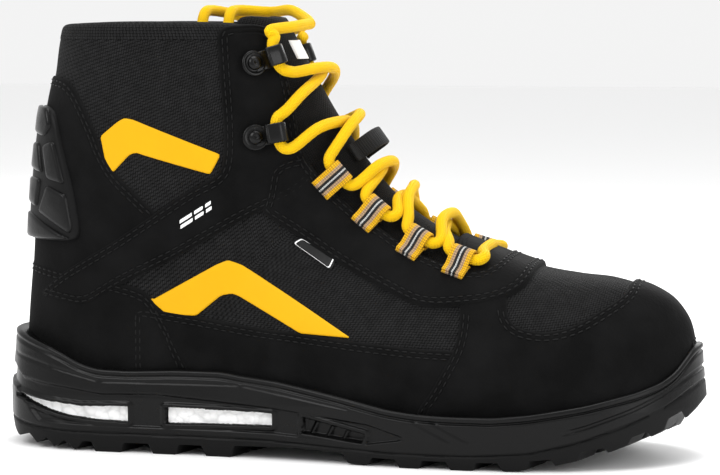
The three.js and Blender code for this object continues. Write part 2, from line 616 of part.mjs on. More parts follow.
function placed(geometry, seat) {
  const m = new THREE.Matrix4().makeBasis(seat.f, seat.n, new THREE.Vector3().crossVectors(seat.f, seat.n));
  m.setPosition(seat.p);
  geometry.applyMatrix4(m);
  return geometry;
}

// direction of the facing edge at each fitting, backwards and up
const slopes = (spots, list) => spots.map((s, i) => Object.assign([...s], { slope: list[i] }));
const hookSpots = slopes(HOOK_SPOTS, [[0.34, 0.94], [0.2, 0.98]]);
const loopSpots = slopes(LOOP_SPOTS, [[0.66, 0.75], [0.78, 0.62], [0.88, 0.47], [0.95, 0.3]]);

function arc(shape, cx, cy, r, from, to, steps) {
  for (let i = 0; i <= steps; i += 1) {
    const a = (from + (to - from) * i / steps) * Math.PI / 180;
    shape.push([cx + r * Math.cos(a), cy + r * Math.sin(a)]);
  }
  return shape;
}
const shapeOf = (pts) => new THREE.Shape(pts.map(([a, b]) => new THREE.Vector2(a, b)));

const seatLevel = leatherTop + GAP;
const laceRoom = LACE / 2 + LACE_FIT;
const loopCentre = [LOOP_REACH, seatLevel + 1.5];
const loopOutline = arc([[-4, seatLevel]], ...loopCentre, laceRoom + WEBBING, 202, 495, 14);
loopOutline.push([-4, seatLevel + 2 * WEBBING]);
const hookCentre = [0, seatLevel + HOOK_SHEET + laceRoom];
const hookOutline = arc([[-HOOK_REACH, seatLevel]], ...hookCentre, laceRoom + HOOK_SHEET, 270, 450, 7);
hookOutline.push([-4.5, hookCentre[1] + laceRoom + HOOK_SHEET], [-4.5, hookCentre[1] + laceRoom]);
arc(hookOutline, ...hookCentre, laceRoom, 450, 270, 7);
hookOutline.push([-HOOK_REACH, seatLevel + HOOK_SHEET]);

const seats = {};
for (const [name, side] of [['outer', -1], ['inner', 1]]) {
  loopSpots.forEach((spot, i) => {
    const seat = seatAt(spot, side);
    seats[`loop_${name}_${i + 1}`] = seat;
    const shape = shapeOf(loopOutline);
    shape.holes.push(shapeOf(arc([], ...loopCentre, laceRoom, 0, 345, 15)));
    const g = new THREE.ExtrudeGeometry(shape, { depth: WEBBING_WIDTH, bevelEnabled: false });
    g.translate(0, 0, -WEBBING_WIDTH / 2);
    add(`loop_${name}_${i + 1}`, solidOf(placed(g, seat)), webbing);
  });
  hookSpots.forEach((spot, i) => {
    const seat = seatAt(spot, side);
    seats[`hook_${name}_${i + 1}`] = seat;
    const stripSize = { depth: HOOK_WIDTH, bevelEnabled: false };
    const strip = new THREE.ExtrudeGeometry(shapeOf(hookOutline), stripSize);
    strip.translate(0, 0, -HOOK_WIDTH / 2);
    const disc = new THREE.CylinderGeometry(HOOK_PLATE, HOOK_PLATE, HOOK_SHEET, 20);
    disc.translate(-HOOK_REACH, seatLevel + HOOK_SHEET / 2, 0);
    const hook = solidOf(placed(strip, seat)).add(solidOf(placed(disc, seat)));
    add(`hook_${name}_${i + 1}`, hook, hookSteel);
    const dome = [[0, 0], [RIVET, 0], [RIVET, 0.5], [2.2, 1.3], [1.1, 1.75], [0, 1.85]];
    const rivet = new THREE.LatheGeometry(dome.map(([a, b]) => new THREE.Vector2(a * RIVET / 3, b)), 14);
    rivet.translate(-HOOK_REACH, seatLevel + HOOK_SHEET + GAP, 0);
    add(`rivet_${name}_${i + 1}`, solidOf(placed(rivet, seat)), hookSteel);
  });
}

// keeper band arched over the ridge of the tongue, sewn down at both feet
const bandAngle = angleOf(BAND_SPOT);
const bandOut = footNormal(bandAngle, 0, -1);
const bandSeat = { p: footPoint(bandAngle, 0, -1), n: bandOut, f: new THREE.Vector3(0, 1, 0) };
const bandFoot = -TEXTILE - SEAM + GAP;
const archAt = (grow) => {
  const half = BAND_SPAN / 2 + grow;
  const top = bandFoot + BAND_HEIGHT + grow;
  const round = [];
  for (let i = 0; i <= 6; i += 1) {
    const a = Math.PI * i / 6;
    round.push([half * Math.cos(a), top - BAND_ROUND * (1 - Math.sin(a))]);
  }
  return round;
};
const bandBottom = bandFoot - BAND_SEWN;
const bandShape = [[BAND_SPAN / 2, bandBottom], ...archAt(0), [-BAND_SPAN / 2, bandBottom]];
bandShape.push([-BAND_SPAN / 2 + BAND_SHEET, bandBottom]);
bandShape.push(...archAt(-BAND_SHEET).reverse());
bandShape.push([BAND_SPAN / 2 - BAND_SHEET, bandBottom]);
const band = new THREE.ExtrudeGeometry(shapeOf(bandShape), { depth: BAND_WIDTH, bevelEnabled: false });
band.translate(0, 0, -BAND_WIDTH / 2);
const bandSolid = solidOf(placed(band, bandSeat)).subtract(footBody(bandFoot));
add('keeper_band', main(bandSolid), webbing);

const LABEL = scaled([[-31, 178], [-27.5, 170], [0, 170], [0, 178]]);
const labelShell = footBody(-TEXTILE - SEAM + GAP + FILM).subtract(footBody(-TEXTILE - SEAM + GAP));
add('tongue_label', main(labelShell.intersect(prism(LABEL, -9, 9))), plastic);

// ---------------------------------------------------------------- lace
// point over the tongue: turn is signed, minus on the outer side
function onTongue(angle, turn, lift) {
  const side = turn < 0 ? -1 : 1;
  const p = footPoint(angle, Math.abs(turn), side);
  return p.addScaledVector(footNormal(angle, Math.abs(turn), side), lift);
}
const through = (seat, centre, along) => seat.p.clone().addScaledVector(seat.f, centre[0])
  .addScaledVector(seat.n, centre[1]).addScaledVector(seat.u, along);
const LOW = LACE / 2 - TEXTILE - SEAM + 0.6;
const HIGH = LOW + LACE + 0.5;
const OVER_EDGE = seatLevel + LACE / 2 + 0.4;

const HOOK_ROWS = HOOK_SPOTS.length;
const ROWS = HOOK_ROWS + LOOP_SPOTS.length;
const isHook = (row) => row < HOOK_ROWS;
function rowSeat(row, side) {
  const name = side < 0 ? 'outer' : 'inner';
  return isHook(row) ? seats[`hook_${name}_${row + 1}`] : seats[`loop_${name}_${row - HOOK_ROWS + 1}`];
}
const rowAngle = (row) => angleOf(isHook(row) ? HOOK_SPOTS[row] : LOOP_SPOTS[row - HOOK_ROWS]);

// the lace from a fitting to the crossing on the ridge; the facing's edge lifts it near a hook
function leg(row, side, spot, lift) {
  const cross = angleOf(spot);
  const at = (turn, height) => onTongue(cross + (rowAngle(row) - cross) * turn * 0.7, side * turn, height);
  const list = [at(0.22, lift === HIGH ? HIGH - 1 : LOW + 0.5)];
  if (isHook(row)) list.unshift(at(0.5, OVER_EDGE));
  return list;
}

// through a fitting, entering from above when going down; outside it the lace bows to the ridge
function passThrough(row, side) {
  const half = (isHook(row) ? HOOK_WIDTH : WEBBING_WIDTH) / 2;
  const [f, n] = isHook(row) ? hookCentre : loopCentre;
  const seat = rowSeat(row, side);
  const bow = [[0.76 * LACE, half + 0.7 * LACE], [0.2 * LACE, half + 0.54 * LACE]];
  const end = (s) => [...bow, [0, half + 0.2], [0, half - 1.4]]
    .map(([over, along]) => through(seat, [f + over, n], s * along));
  return [...end(1), through(seat, [f, n], 0), ...end(-1).reverse()];
}

function runDown(startSide, lift) {
  const pts = [];
  let side = startSide;
  for (let row = 0; row < ROWS; row += 1) {
    pts.push(...passThrough(row, side));
    if (row + 1 < ROWS) {
      pts.push(...leg(row, side, CROSSINGS[row], lift));
      pts.push(onTongue(angleOf(CROSSINGS[row]), 0, lift));
      pts.push(...leg(row + 1, -side, CROSSINGS[row], lift).reverse());
    }
    side = -side;
  }
  return pts;
}

const barAngle = angleOf(CROSSINGS.at(-1));
const barPoint = (turn) => onTongue(barAngle, turn, LOW + 0.4);
const down = runDown(-1, HIGH);
const up = runDown(1, LOW).reverse();
const over = onTongue(angleOf(TOP_CROSSING), 0, HIGH);
const rise = [
  onTongue(angleOf(TOP_CROSSING) - 0.004, -0.3, HIGH - 1),
  onTongue(angleOf(TOP_CROSSING) - 0.012, -0.58, OVER_EDGE + 0.8),
];
const laceLine = [
  over, ...rise, ...down, barPoint(0.25), barPoint(0), barPoint(-0.25), ...up,
];

function tube(points, radius, spacing, sides) {
  const path = new THREE.CatmullRomCurve3(points, false, 'centripetal');
  const ring = arc([], 0, 0, radius, 0, 360 - 360 / sides, sides - 1);
  const steps = Math.round(path.getLength() / spacing);
  return new THREE.ExtrudeGeometry(shapeOf(ring), { steps, extrudePath: path, bevelEnabled: false });
}
add('lace', solidOf(tube(laceLine, LACE / 2, 5.5, 8)), laceYarn);

const rim = COLLAR_Z + 2 * kz + LACE / 2 + 0.8;
const hang = ([x, y]) => [
  [x + 2, y + 9, rim + 1.2], [x + 0.5, y + 3.5, rim], [x, y, rim - 7], [x, y - 0.5, rim - 22],
  [x, y - 0.8, 130 * kz], [x, y - 1, TAIL_BOTTOM],
].map((p) => new THREE.Vector3(...p));
const ahead = (points, share) => points[0].clone().lerp(points[1], share);
const overTongue = [
  ahead([over, down[0]], -0.12),
  onTongue(angleOf(TOP_CROSSING) - 0.022, 0.3, HIGH - 0.4),
  onTongue(angleOf(TOP_CROSSING) - 0.062, 0.58, OVER_EDGE + 1),
  new THREE.Vector3(-45 * kx, 36.5 * ky, rim + 0.5),
];
const topExit = up.at(-1);
const overCollar = [
  topExit.clone().add(new THREE.Vector3(-0.28, 0.36, 0.74).multiplyScalar(LACE)),
  new THREE.Vector3(-41 * kx, 40.5 * ky, 182 * kz),
  new THREE.Vector3(-56 * kx, 45 * ky, 187 * kz),
];
const tails = [[...overTongue, ...hang(TAIL_DROP[0])], [...overCollar, ...hang(TAIL_DROP[1])]];
tails.forEach((points, i) => {
  add(`lace_tail_${i + 1}`, solidOf(tube(points, LACE / 2, 7, 8)), laceYarn);
  const end = points.at(-1);
  const aglet = new THREE.CylinderGeometry(AGLET / 2, AGLET / 2, TAIL_END, 10);
  aglet.rotateX(Math.PI / 2);
  aglet.translate(end.x, end.y, end.z - GAP - TAIL_END / 2);
  add(`aglet_${i + 1}`, solidOf(aglet), plastic);
});

export default group;
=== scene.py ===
"""A mid-height lace-up mountaineering boot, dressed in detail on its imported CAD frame.

Sizes are in millimetres, as in the part's source, and become metres where a mesh is made.
"""
import math
import bmesh
import bpy
import numpy as np
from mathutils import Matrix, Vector
from mathutils.geometry import delaunay_2d_cdt


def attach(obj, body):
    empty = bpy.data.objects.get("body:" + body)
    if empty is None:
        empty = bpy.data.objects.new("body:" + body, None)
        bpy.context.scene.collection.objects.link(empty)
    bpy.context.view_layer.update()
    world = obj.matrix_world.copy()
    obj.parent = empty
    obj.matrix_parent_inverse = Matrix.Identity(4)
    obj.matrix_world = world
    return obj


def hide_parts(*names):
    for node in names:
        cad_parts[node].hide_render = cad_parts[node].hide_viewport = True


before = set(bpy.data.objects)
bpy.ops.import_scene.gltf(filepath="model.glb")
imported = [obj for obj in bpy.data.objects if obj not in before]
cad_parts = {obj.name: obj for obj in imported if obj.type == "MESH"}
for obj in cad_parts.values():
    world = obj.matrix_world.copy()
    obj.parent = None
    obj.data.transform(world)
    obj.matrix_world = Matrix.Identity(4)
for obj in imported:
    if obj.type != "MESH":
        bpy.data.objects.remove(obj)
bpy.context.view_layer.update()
MM = 0.001

# ---------------------------------------------------------------- sizes, as in the part
GAP = 0.3
TEXTILE = 1.2
SEAM = 0.5
LEATHER = 1.6
TONGUE = 6.0
LACE = 5.0
LACE_FIT = 0.6
WEBBING = 1.1
WEBBING_WIDTH = 10
LOOP_REACH = 5.6
HOOK_SHEET = 1.2
HOOK_WIDTH = 8.5
BAND_WIDTH = 8.4
BAND_SPAN = 17
BAND_HEIGHT = 12.5
BAND_SHEET = 1.4
TAIL_BOTTOM = 106
COLLAR_Z = 184.5
AGLET_LENGTH = 20
LEATHER_TOP = GAP + LEATHER

RIDGE = [
    (-40, 222), (-33, 203), (-28, 188), (-21, 174), (-13, 159.5), (-5, 146), (8, 127), (23, 110),
    (36, 100.5), (50, 93), (66, 86.5), (82, 81), (100, 78), (115, 76.5), (127, 73.5), (137, 69),
    (144, 62), (147.5, 54), (148.5, 45), (149, 30), (149.3, 0), (149.5, -15),
]
HEEL = [
    (-121, 222), (-125, 203), (-128, 188), (-131, 176), (-133, 163), (-136, 150), (-138.5, 136),
    (-140.5, 120), (-141.8, 106), (-142.8, 92), (-143.6, 79), (-144.6, 65), (-145.3, 50),
    (-145.5, 30), (-145.5, 0), (-145.5, -15), (-120, -15), (-60, -15), (0, -15), (60, -15),
    (120, -15), (149.5, -15),
]
FOOT_X = [-146, -130, -110, -60, -20, 20, 50, 80, 110, 130, 142, 147, 149.5]
FOOT_OUT = [30, 31.5, 33, 35.5, 40, 46, 48.5, 47.5, 41, 30.5, 19, 12, 8]
FOOT_IN = [30, 31.5, 32.5, 33, 36, 42, 45.5, 45, 39, 29.5, 19, 12, 8]
SHAFT_Z = [60, 105, 150, 190, 230]
SHAFT_Y = [36, 36.5, 38, 40, 42]
THROAT_EDGE = [
    (-34.5, 185.5), (-30, 177), (-25, 164), (-21, 150), (-18, 135), (-15, 127), (-9.5, 120),
    (-3.5, 113), (7, 104), (15, 99), (27, 91), (35, 87), (47, 82.5), (59, 79.5), (66, 82), (69.5, 87),
]
TONGUE_EDGE = [
    (-52, 186.5), (-47, 172), (-42, 157), (-37, 141), (-31, 127), (-22, 114), (-11, 103), (2, 94),
    (15, 87), (28, 80.5), (42, 75), (58, 72), (66, 75), (73, 90),
]
FLOOR = [
    (-170, 27), (-145, 27), (-100, 26.5), (-60, 25.2), (-25, 23), (0, 18.8), (25, 14.8), (50, 13),
    (75, 12.8), (95, 14.2), (120, 18.5), (145, 25), (170, 32),
]
RIM_LINE = [
    (-170, 51), (-150, 50.5), (-144, 49), (-137, 47), (-129, 45), (-121, 42), (-114, 38.5),
    (-105, 36.3), (-91, 36), (-70, 37), (-49, 37), (-41, 35.7), (-24, 34), (-7, 31), (9, 28),
    (25, 24.6), (37, 23.2), (50, 22.6), (70, 22.6), (85, 24), (108, 27.6), (130, 32.5), (140, 36),
    (147, 41), (151, 47), (155, 50.5), (170, 51),
]
TREAD_TOP = [
    (-170, 15), (-150, 13), (-138, 10.8), (-120, 9.5), (-60, 9.5), (-30, 9.5), (0, 8.2), (30, 7),
    (60, 7), (86, 8.8), (108, 14), (128, 21), (142, 27.5), (150, 33), (170, 43),
]
TREAD_BOTTOM = [
    (-170, 12), (-155, 10), (-146, 4), (-139, 6), (-135, 2), (-130, 5), (-126, 1.2), (-121, 4.4),
    (-116, 0.3), (-112, 4.4), (-108, 4.4), (-106.5, 0), (-95, 0), (-93, 4.4), (-82, 4.4), (-80, 0),
    (-70, 0), (-68, 4.6), (-58, 4.6), (-56, 0), (-45, 0), (-43, 5.2), (-18, 5.8), (6, 5),
    (8, 0.8), (17, 0.6), (19, 3.8), (29, 3.6), (31, 0), (39, 0), (41, 3.6), (51, 3.6), (53, 0),
    (62, 0), (64, 3.6), (73, 3.8), (75, 0.3), (84, 1), (86, 4.8), (95, 5.6), (97, 3), (105, 4.6),
    (107, 8.6), (116, 10), (118, 8), (125, 10.5), (127, 14), (133, 16), (134.5, 13.6),
    (139.5, 16.2), (141, 20.5), (146, 23), (147.5, 19.8), (151, 23), (170, 44),
]
SOLE_PLAN = [
    (-155, 0), (-152, -14), (-145, -26.5), (-130, -35.5), (-110, -39), (-80, -40.5), (-45, -42.5),
    (-10, -47.5), (25, -53.5), (55, -55.5), (85, -54.5), (110, -47.5), (130, -37), (144, -24),
    (152.5, -10), (155, 2), (152, 14), (144, 26), (130, 36.5), (110, 45.5), (85, 52), (55, 55.5),
    (25, 51), (-10, 43), (-45, 38.5), (-80, 37.5), (-110, 37.5), (-130, 34.5), (-145, 26),
    (-152, 14),
]
SOLE_INSET = [(-2, 2.6), (4, 1.4), (12, 0.2), (24, 0), (34, 1.0), (42, 1.8), (54, 2.4)]
WINDOWS = [
    [(-146, 23.5), (-133, 21.5), (-113, 19.7), (-91, 20.4), (-91, 13.6), (-105, 13.9),
     (-119, 15.2), (-130, 17.5), (-146, 22)],
    [(-74, 20.6), (-26, 20), (-26, 14.6), (-74, 13.6)],
]
BLIND_WINDOW = [(-12, 19.4), (16, 13.6), (14.5, 9.6), (-12.5, 12.4)]
BAND_TOP = [
    (-160, 36), (-149, 35.5), (-143, 31), (-133, 29.5), (-122, 28.4), (-103, 26.0), (-78, 26.5),
    (-25, 22.8), (17, 18.2), (33, 13.5),
]
BAND_LOW = [
    (-160, 30), (-146, 25.5), (-133, 12), (-119, 11.6), (-91, 11.2), (-26, 11.2), (16, 8.8),
    (33, 11.5),
]
ENGRAVED = [
    [(36, 20.5), (54, 11.5)], [(44, 20.5), (62, 11.5)], [(-150, 41), (-128, 36.5)],
    [(-128, 36.5), (-104, 31)], [(-104, 31), (-40, 31.5)], [(-40, 31.5), (10, 23.5)],
]
CHANNEL_FLOOR = [
    (-170, 12), (-146, 6.5), (-116, 4.5), (62, 4.2), (84, 5.5), (107, 9.5), (127, 15), (140, 20),
    (150, 24), (170, 44),
]
HOOK_SPOTS = [(-31.5, 170), (-28, 138)]
HOOK_SLOPES = [(0.34, 0.94), (0.2, 0.98)]
LOOP_SPOTS = [(-6.5, 116.5), (11, 101.5), (31, 89), (51.5, 81.2)]
LOOP_SLOPES = [(0.66, 0.75), (0.78, 0.62), (0.88, 0.47), (0.95, 0.3)]
CROSSINGS = [(-15, 162.5), (-2.5, 142), (12.5, 121.5), (23, 110), (41, 97.5), (61, 88.5)]
TOP_CROSSING = (-25, 182)
BAND_SPOT = (5, 131)
TAIL_DROP = [(-61, 20), (-73, 20)]


# ---------------------------------------------------------------- lines and loops
def smooth(t):
    """A step from 0 to 1 with eased ends."""
    c = np.clip(t, 0, 1)
    return c * c * (3 - 2 * c)


def round_over(t):
    """A quarter round from 0 to 1."""
    return np.sqrt(np.clip(1 - (1 - np.clip(t, 0, 1)) ** 2, 0, 1))


def unit(v):
    return v / np.linalg.norm(v)


def run_length(line):
    """Length along a line up to each of its points."""
    return np.concatenate([[0], np.cumsum(np.linalg.norm(np.diff(line, axis=0), axis=1))])


def points_at(line, run, places):
    return np.stack([np.interp(places, run, line[:, k]) for k in range(line.shape[1])], -1)


def resample(p, step, closed=True):
    """A line with its points evenly spaced, about a step apart."""
    if closed:
        p = np.concatenate([p, p[:1]])
    run = run_length(p)
    count = max(4, int(round(run[-1] / step)))
    q = points_at(p, run, np.linspace(0, run[-1], count + 1))
    return q[:-1] if closed else q


def rounded(outline, cut=6.0):
    """A closed outline with each corner eased by a short curve."""
    p = np.array(outline, float)
    out = []
    for i in range(len(p)):
        a, b, c = p[i - 1], p[i], p[(i + 1) % len(p)]
        start = b + unit(a - b) * min(cut, 0.45 * np.linalg.norm(a - b))
        end = b + unit(c - b) * min(cut, 0.45 * np.linalg.norm(c - b))
        for t in np.linspace(0, 1, 7):
            out.append(start * (1 - t) ** 2 + 2 * b * t * (1 - t) + end * t * t)
    return np.array(out)


def inside(points, loop):
    """Even-odd test of points against a closed loop."""
    x, y = points[:, 0], points[:, 1]
    hit = np.zeros(len(points), bool)
    for (ax, ay), (bx, by) in zip(loop, np.roll(loop, -1, axis=0)):
        if ay != by:
            hit ^= ((ay > y) != (by > y)) & (x < (bx - ax) * (y - ay) / (by - ay) + ax)
    return hit


def outward(loop):
    """Directions out of a closed loop at its points."""
    t = np.roll(loop, -1, axis=0) - np.roll(loop, 1, axis=0)
    n = np.stack([t[:, 1], -t[:, 0]], -1) / np.linalg.norm(t, axis=1)[:, None]
    x, y = loop.T
    return -n if (x * np.roll(y, -1) - np.roll(x, -1) * y).sum() < 0 else n


def grown_loop(line, by):
    """A side-view loop moved outward."""
    p = np.array(line, float)
    return p + outward(p) * by


def distance_to(points, targets, block=2000):
    """Distance from each point to the nearest target."""
    out = np.empty(len(points))
    for i in range(0, len(points), block):
        d = points[i:i + block, None, :] - targets[None]
        out[i:i + block] = np.sqrt((d * d).sum(-1).min(1))
    return out


def line_at(line, x):
    """Height of a polyline."""
    line_x, line_z = np.array(line, float).T
    return np.interp(x, line_x, line_z)


def soft_line(line, x, reach=3.0):
    """Height of a polyline, eased over its corners."""
    return sum(line_at(line, x + d) for d in np.linspace(-reach, reach, 7)) / 7


def spline(a, b, c, d, shares):
    """Points from b towards c on the centripetal Catmull-Rom curve through a, b, c and d."""
    d0, d1, d2 = (max(1e-4, np.linalg.norm(v)) ** 0.5 for v in (b - a, c - b, d - c))
    t1 = ((b - a) / d0 - (c - a) / (d0 + d1) + (c - b) / d1) * d1
    t2 = ((c - b) / d1 - (d - b) / (d1 + d2) + (d - c) / d2) * d1
    return [b * (2 * s ** 3 - 3 * s ** 2 + 1) + c * (3 * s ** 2 - 2 * s ** 3)
            + t1 * (s ** 3 - 2 * s ** 2 + s) + t2 * (s ** 3 - s ** 2) for s in shares]


def open_curve(points, step):
    """A smooth line through points, sampled about every step."""
    p = np.array(points, float)
    p = np.concatenate([[2 * p[0] - p[1]], p, [2 * p[-1] - p[-2]]])
    out = []
    for i in range(1, len(p) - 2):
        count = max(2, int(np.linalg.norm(p[i + 1] - p[i]) / step))
        out += spline(*p[i - 1:i + 3], np.arange(count) / count)
    return resample(np.array([*out, p[-2]]), step, closed=False)


def closed_curve(points, count):
    """A smooth closed line through points, as a number of even steps."""
    p = np.array(points, float)
    fine = []
    for i in range(len(p)):
        fine += spline(p[i - 1], p[i], p[(i + 1) % len(p)], p[(i + 2) % len(p)], np.arange(40) / 40)
    loop = np.array([*fine, fine[0]])
    run = run_length(loop)
    return points_at(loop, run, np.arange(count) * (run[-1] / count))


# ---------------------------------------------------------------- foot surface


def curve(xs, ys):
    """Shape-preserving curve through points given by rising x."""
    xs = np.asarray(xs, float)
    ys = np.asarray(ys, float)
    h = np.diff(xs)
    d = np.diff(ys) / h
    m = np.zeros(len(xs))
    for i in range(1, len(xs) - 1):
        if d[i - 1] * d[i] > 0:
            w1 = 2 * h[i] + h[i - 1]
            w2 = h[i] + 2 * h[i - 1]
            m[i] = (w1 + w2) / (w1 / d[i - 1] + w2 / d[i])
    m[0] = d[0]
    m[-1] = d[-1]

    def value(x):
        c = np.clip(x, xs[0], xs[-1])
        i = np.clip(np.searchsorted(xs, c) - 1, 0, len(xs) - 2)
        t = (c - xs[i]) / h[i]
        a = ys[i] * (1 + 2 * t) * (1 - t) ** 2 + h[i] * m[i] * t * (1 - t) ** 2
        return a + ys[i + 1] * t * t * (3 - 2 * t) + h[i] * m[i + 1] * t * t * (t - 1)

    return value


PIVOT = (150, 250)
FIRST = math.atan2(-42, -287)
LAST = math.atan2(-265, -0.6)


def angle_of(x, z):
    return np.arctan2(np.asarray(z) - PIVOT[1], np.asarray(x) - PIVOT[0])


def reach_of(x, z):
    return np.hypot(np.asarray(z) - PIVOT[1], np.asarray(x) - PIVOT[0])


def reach_curve(line):
    x, z = np.array(line, float).T
    return curve(angle_of(x, z), reach_of(x, z))


ridge_reach = reach_curve(RIDGE)
heel_reach = reach_curve(HEEL)
foot_out = curve(FOOT_X, FOOT_OUT)
foot_in = curve(FOOT_X, FOOT_IN)
shaft_half = curve(SHAFT_Z, SHAFT_Y)


def foot_point(angle, turn, side):
    """Point of the foot shape: turn is 0 on the ridge and pi on the heel line, side -1 outer, 1 inner."""
    near = ridge_reach(angle)
    reach = near + (heel_reach(angle) - near) * (1 - np.cos(turn)) / 2
    x = PIVOT[0] + reach * np.cos(angle)
    z = PIVOT[1] + reach * np.sin(angle)
    # up the ankle the foot's half width gives way to the shaft's, and the section grows rounder
    high = smooth((z - 45) / 65) * smooth((75 - x) / 75)
    domed = smooth((z - 40) / 50) * smooth((78 - x) / 50)
    foot = np.where(np.asarray(side) < 0, foot_out(x), foot_in(x))
    half = foot * (1 - high) + shaft_half(z) * high
    y = side * half * np.abs(np.sin(turn)) ** (0.66 + 0.28 * domed)
    return np.stack([x, y, z], -1)


def foot_normal(angle, turn, side):
    """Outward direction, from small steps both ways; none across on the ridge and the heel line."""
    trial = 0.02
    angle, turn, side = np.broadcast_arrays(angle, turn, side)
    t = np.clip(turn, 0.03, np.pi - 0.03)
    a = np.clip(angle, FIRST + trial, LAST - 0.004)
    step = np.minimum(trial, (LAST - a) / 2)
    da = foot_point(a + step, t, side) - foot_point(a - step, t, side)
    dt = foot_point(a, t + trial, side) - foot_point(a, t - trial, side)
    n = np.cross(da, dt)
    n *= (side / np.linalg.norm(n, axis=-1))[..., None]
    n[..., 1] *= smooth(np.minimum(turn, np.pi - turn) / 0.06)
    return n / np.linalg.norm(n, axis=-1)[..., None]


def turn_at(x, z):
    """Angle and turn of a side-view spot."""
    angle = angle_of(x, z)
    near = ridge_reach(angle)
    share = np.clip((reach_of(x, z) - near) / (heel_reach(angle) - near), 0, 1)
    return angle, np.arccos(1 - 2 * share)


# the surface rolled flat: angle rows against arc length, so that panels can be cut on it
ROWS, COLS = 260, 361
ROW_END = LAST - 0.0005
ROW_ANGLES = np.linspace(FIRST, ROW_END, ROWS)
ANGLE_SCALE = 215.0
SHARES, TURNS = 1, 2


def section_table(side):
    """Each row's whole length, its shares of that at even turns, and its turns at even shares."""
    turns = np.linspace(0, np.pi, COLS)
    run = np.array([run_length(row) for row in foot_point(ROW_ANGLES[:, None], turns[None], side)])
    share = run / run[:, -1:]
    even = np.linspace(0, 1, COLS)
    return run[:, -1], share, np.array([np.interp(even, row, turns) for row in share])


SECTIONS = {side: section_table(side) for side in (-1, 1)}


def lookup(table, angle, v):
    """Bilinear value of a ROWS by COLS table at an angle and a fraction v of its columns."""
    r = np.clip((angle - ROW_ANGLES[0]) / (ROW_ANGLES[-1] - ROW_ANGLES[0]), 0, 1) * (ROWS - 1)
    c = np.clip(v, 0, 1) * (COLS - 1)
    i = np.minimum(r.astype(int), ROWS - 2)
    j = np.minimum(c.astype(int), COLS - 2)
    a, b = r - i, c - j
    top = table[i, j] * (1 - b) + table[i, j + 1] * b
    return top * (1 - a) + (table[i + 1, j] * (1 - b) + table[i + 1, j + 1] * b) * a


def total_arc(angle, side):
    """Length of a section from ridge to heel line."""
    outer, inner = (np.interp(angle, ROW_ANGLES, SECTIONS[s][0]) for s in (-1, 1))
    return np.where(side < 0, outer, inner)


def both(which, angle, v, side):
    """A section table's value on the outer or the inner side."""
    outer, inner = (lookup(SECTIONS[s][which], angle, v) for s in (-1, 1))
    return np.where(side < 0, outer, inner)


def flat_of(x, z, side, back):
    """Side-view points to flat ones: (angle scaled, signed arc length from the ridge or the heel line)."""
    angle, turn = turn_at(x, z)
    share = both(SHARES, angle, turn / np.pi, side)
    share = 1 - share if back else share
    return np.stack([angle * ANGLE_SCALE, side * share * total_arc(angle, side)], -1)


def surface(flat, back, lift=0.0):
    """Flat points to space, lifted along the surface normal."""
    angle = flat[..., 0] / ANGLE_SCALE
    side = np.where(flat[..., 1] < 0, -1.0, 1.0)
    share = np.abs(flat[..., 1]) / total_arc(angle, side)
    share = 1 - share if back else share
    turn = both(TURNS, angle, share, side)
    return foot_point(angle, turn, side) + foot_normal(angle, turn, side) * np.asarray(lift)[..., None]


def at_side(x, z, side, lift=0.0):
    """Point over a side-view spot, and its normal."""
    angle, turn = turn_at(x, z)
    n = foot_normal(angle, turn, side)
    return foot_point(angle, turn, side) + n * np.asarray(lift)[..., None], n


# ---------------------------------------------------------------- outlines and meshes
OUTLINE_STEP = 0.8
FLAT_STEP = 1.3


def flat_loop(outline, side, back, cut=6.0):
    """A side-view outline as a flat loop. side 0 wraps it round the ridge, or the heel line if back."""
    p = resample(rounded(outline, cut), OUTLINE_STEP)
    if side:
        return resample(flat_of(p[:, 0], p[:, 1], side, back), FLAT_STEP)
    angle = angle_of(p[:, 0], p[:, 1])
    near, far = ridge_reach(angle), heel_reach(angle)
    reach = reach_of(p[:, 0], p[:, 1])
    keep = (reach < far) if back else (reach > near)
    start = int(np.argmax(keep & ~np.roll(keep, 1)))
    order = (start + np.arange(len(p))) % len(p)
    chain = order[keep[order]]
    outer, inner = (flat_of(p[chain, 0], p[chain, 1], s, back) for s in (-1, 1))
    for half in (outer, inner):
        half[[0, -1], 1] = 0
    return resample(np.concatenate([outer, inner[::-1][1:-1]]), FLAT_STEP)


def point_values(mesh, name, values):
    attribute = mesh.attributes.new(name, "FLOAT", "POINT")
    attribute.data.foreach_set("value", np.asarray(values, np.float32))


def mesh_object(name, verts, faces, material, body="shell", uv=None, edge=None):
    """A mesh from millimetre points, riding on a body, with flat coordinates as its UV map."""
    mesh = bpy.data.meshes.new(name)
    mesh.from_pydata((np.asarray(verts) * MM).tolist(), [], [tuple(int(i) for i in f) for f in faces])
    mesh.shade_smooth()
    mesh.materials.append(material)
    if uv is not None:
        layer = mesh.uv_layers.new(name="flat")
        loops = np.zeros(len(mesh.loops), int)
        mesh.loops.foreach_get("vertex_index", loops)
        centimetres = np.asarray(uv, np.float32)[loops] * 0.1
        layer.data.foreach_set("uv", centimetres.astype(np.float32).ravel())
    if edge is not None:
        point_values(mesh, "edge", edge)
    obj = bpy.data.objects.new(name, mesh)
    bpy.context.collection.objects.link(obj)
    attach(obj, body)
    return obj


def inward(loop, back, distance):
    """A flat loop moved inward by a distance measured on the surface."""
    n = -outward(loop)
    trial = 0.4
    moved = surface(loop + n * trial, back) - surface(loop, back)
    stretch = np.linalg.norm(moved, axis=1) / trial
    return loop + n * (distance / np.maximum(stretch, 0.3))[:, None]


RINGS = (0.35, 1.0, 2.2)  # rows of points along a panel's edge, which the rolled edge needs
ROW_RATIO = 0.87  # between rows of a grid of even triangles, as a share of its pitch


